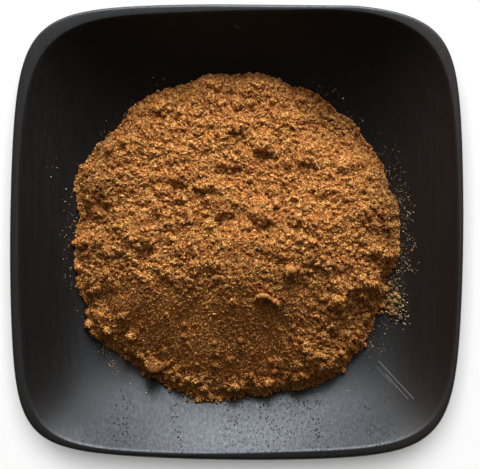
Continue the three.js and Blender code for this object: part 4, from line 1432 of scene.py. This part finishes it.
DUST_ZONES = (
    # ends of its line, half-width, share of the dust; lengths in millimetres
    ((-42.6, -36.0), (-37.2, -44.6), 1.6, 1.3),
    ((48.0, 25.0), (52.0, 10.0), 4.5, 0.30),
    ((52.0, 10.0), (53.5, -8.0), 5.0, 0.42),
    ((51.5, -9.0), (49.5, -16.0), 5.0, 0.6),
    ((49.0, -16.0), (51.0, -25.0), 5.5, 1.2),
    ((49.0, -25.0), (44.0, -36.0), 4.5, 0.35),
    ((44.0, -36.0), (34.0, -47.0), 4.0, 0.16),
    ((-50.5, 22.0), (-53.0, 6.0), 3.0, 0.12),
    ((-52.5, 6.0), (-53.0, -16.0), 3.0, 0.22),
    ((-42.0, 33.0), (-24.0, 48.0), 2.5, 0.12),
    ((20.0, 50.0), (45.0, 30.0), 3.5, 0.07),
    ((-48.0, -25.0), (-36.0, -46.0), 4.0, 0.10),
    ((-36.0, -47.0), (30.0, -56.0), 5.0, 0.03),
    ((-62.0, 33.0), (-57.0, 14.0), 3.0, 0.05),
)
FIBRE_ZONES = (
    ((-43.0, 30.0), (-20.0, 47.0), 3.0, 0.35),
    ((46.0, 27.0), (52.5, 6.0), 4.0, 0.35),
    ((52.5, 6.0), (50.5, -22.0), 5.0, 0.5),
    ((-50.5, 15.0), (-51.5, -18.0), 2.5, 0.3),
    ((24.0, 48.0), (42.0, 33.0), 3.0, 0.2),
    ((-58.2, 38.6), (-56.8, 38.6), 0.8, 0.6),
    ((-2.0, 64.2), (-1.2, 64.2), 0.8, 0.6),
)


class SPICEBOWL_OT_dust(bpy.types.Operator):
    """Strews dust and short plant fibres on the wood round the heap"""

    bl_idname = "spicebowl.dust"
    bl_label = "Dust and Fibres"

    def execute(self, context):
        s = context.scene.spicebowl_grains
        bowl = bpy.data.objects["wooden_bowl"]
        dust = strew(strewing_tree("Dust", slivers, in_zones(DUST_ZONES)), "spice_dust",
                     dry_spice("spice_dust", "#86643c", "#e2cba0"), bed=bowl,
                     amount=s.dust_amount, smallest=0.07 * MM, largest=0.26 * MM, rarity=2.0,
                     stretch=1.5, lift=0.05 * MM, seed=s.seed + 30)
        dust.data.shade_flat()
        finish_piece(dust, slot="ground_spice")
        hairs = strew(strewing_tree("Fibres", fibres, in_zones(FIBRE_ZONES), lying=True),
                      "plant_fibres", dry_spice("plant_fibres", "#8a7350", "#d9c8a4"), bed=bowl,
                      second_bed=bpy.data.objects["spice_core"], amount=s.fibre_amount,
                      smallest=0.6 * MM, largest=1.8 * MM, rarity=2.0, stretch=1.0,
                      lift=0.12 * MM, seed=s.seed + 31)
        hairs.data.shade_smooth()
        finish_piece(hairs, slot="ground_spice")
        return {"FINISHED"}


# ------------------------------------------------------------------------------ the stage
FLOOR_HALF = 1.6
FLOOR_GLOW = 0.03  # lifts the floor to the photo's white
ROOM_GLOW = 0.05
PHOTO_WIDTH = 480  # pixels
PHOTO_CENTRE = (3.3, -2.3)  # of the picture from the bowl's middle, in pixels
SENSOR_WIDTH = 36.0
LAMPS = (
    # name, size, place, aim's height, power (None for the setting), colour, what it lights
    ("window", (0.42, 0.42), (0.07, 0.95, 0.39), 0.02, None, "#f5f9ff", "Not Floor"),
    ("window_sides", (2.0, 0.42), (0.05, 1.0, 0.39), 0.02, 10.0, "#fffaf2", "Not Floor"),
    ("upper_window", (0.9, 0.3), (0.05, 0.8, 0.62), 0.02, 5.2, "#fbfbfb", "Not Floor"),
    ("ceiling_glow", (1.2, 1.2), (0.0, 0.35, 1.45), 0.0, 2.8, "#fff4e8", None),
    ("floor_light", (0.64, 0.64), (-0.02, 0.33, 1.5), 0.0, 24.2, "#ffffff", "Only Floor"),
)


def make_floor():
    """A plain white board, and the two collections that tell the lamps what they light."""
    half = FLOOR_HALF
    floor = mesh_object("floor", [(-half, -half, 0), (half, -half, 0), (half, half, 0),
                                  (-half, half, 0)], [(0, 1, 2, 3)])
    material, add = new_material("white_board")
    close_material(add, {
        "Base Color": linear("#f2f3f4"), "Roughness": 0.8, "Emission Color": linear("#f6f8fa"),
        "Emission Strength": FLOOR_GLOW})
    floor.data.materials.append(material)
    for name in ("Only Floor", "Not Floor"):
        bpy.data.collections.new(name).objects.link(floor)
    without_floor = bpy.data.collections["Not Floor"].collection_objects[0]
    without_floor.light_linking.link_state = "EXCLUDE"


def make_lamp(name, size, place, aim_height, power, colour, lit):
    """A rectangular lamp that aims at the bowl's middle."""
    light = bpy.data.lights.new(name, "AREA")
    light.shape = "RECTANGLE"
    light.size, light.size_y = size
    light.energy = power
    light.color = linear(colour)[:3]
    thing = bpy.data.objects.new(name, light)
    thing.location = place
    direction = Vector(np.subtract((0, 0, aim_height), place))
    thing.rotation_euler = direction.to_track_quat("-Z", "Z").to_euler()
    bpy.context.scene.collection.objects.link(thing)
    if lit:
        thing.light_linking.receiver_collection = bpy.data.collections[lit]


def make_camera(s):
    """A camera straight above the bowl, turned a little as in the photo."""
    camera = bpy.data.cameras.new("camera")
    camera.sensor_width = SENSOR_WIDTH
    camera.lens = SENSOR_WIDTH * s.camera_height / s.field
    eye = bpy.data.objects.new("camera", camera)
    pixel = s.field / PHOTO_WIDTH
    eye.location = (PHOTO_CENTRE[0] * pixel, PHOTO_CENTRE[1] * pixel, BOWL_HIGH.z + s.camera_height)
    eye.rotation_euler = (0, 0, s.roll)
    bpy.context.scene.collection.objects.link(eye)
    bpy.context.scene.camera = eye


class SPICEBOWL_OT_stage(bpy.types.Operator):
    """Makes the floor, the light and the camera"""

    bl_idname = "spicebowl.stage"
    bl_label = "Floor, Light and Camera"

    def execute(self, context):
        s = context.scene.spicebowl_stage
        make_floor()
        # The lamps beside the bowl light the bowl alone, and one small lamp overhead lights the
        # floor alone, so the bowl's shade on the floor is short and soft.
        for name, size, place, aim_height, power, colour, lit in LAMPS:
            make_lamp(name, size, place, aim_height, power or s.window_power, colour, lit)
        world = bpy.data.worlds.new("room")
        world.use_nodes = True
        background = world.node_tree.nodes["Background"]
        background.inputs["Color"].default_value = linear("#f2ede6")
        background.inputs["Strength"].default_value = ROOM_GLOW
        context.scene.world = world
        context.scene.view_settings.view_transform = "Standard"
        make_camera(s)
        return {"FINISHED"}


# ------------------------------------------------------------------------------ the sidebar
OPERATORS = (SPICEBOWL_OT_stage, SPICEBOWL_OT_bowl, SPICEBOWL_OT_heap, SPICEBOWL_OT_crumbs,
             SPICEBOWL_OT_grains, SPICEBOWL_OT_dust)
SETTINGS = {
    "spicebowl_bowl": BowlSettings,
    "spicebowl_heap": HeapSettings,
    "spicebowl_grains": GrainSettings,
    "spicebowl_stage": StageSettings,
}


class SPICEBOWL_PT_sidebar(bpy.types.Panel):
    """Lists the steps that build the bowl of spice"""

    bl_label = "Spice Bowl"
    bl_idname = "SPICEBOWL_PT_sidebar"
    bl_space_type = "VIEW_3D"
    bl_region_type = "UI"
    bl_category = "Spice Bowl"

    def draw(self, context):
        for operator in OPERATORS:
            self.layout.operator(operator.bl_idname)
        for name, group in SETTINGS.items():
            box = self.layout.box()
            for setting in group.__annotations__:
                box.prop(getattr(context.scene, name), setting)


CLASSES = (*SETTINGS.values(), *OPERATORS, SPICEBOWL_PT_sidebar)


def register():
    for cls in CLASSES:
        bpy.utils.register_class(cls)
    for name, group in SETTINGS.items():
        setattr(bpy.types.Scene, name, bpy.props.PointerProperty(type=group))


def unregister():
    for name in SETTINGS:
        delattr(bpy.types.Scene, name)
    for cls in reversed(CLASSES):
        bpy.utils.unregister_class(cls)


def main():
    register()
    bpy.ops.spicebowl.stage()
    bpy.ops.spicebowl.bowl()
    bpy.ops.spicebowl.heap()
    bpy.ops.spicebowl.crumbs()
    bpy.ops.spicebowl.grains()
    bpy.ops.spicebowl.dust()


if __name__ == "__main__":
    main()
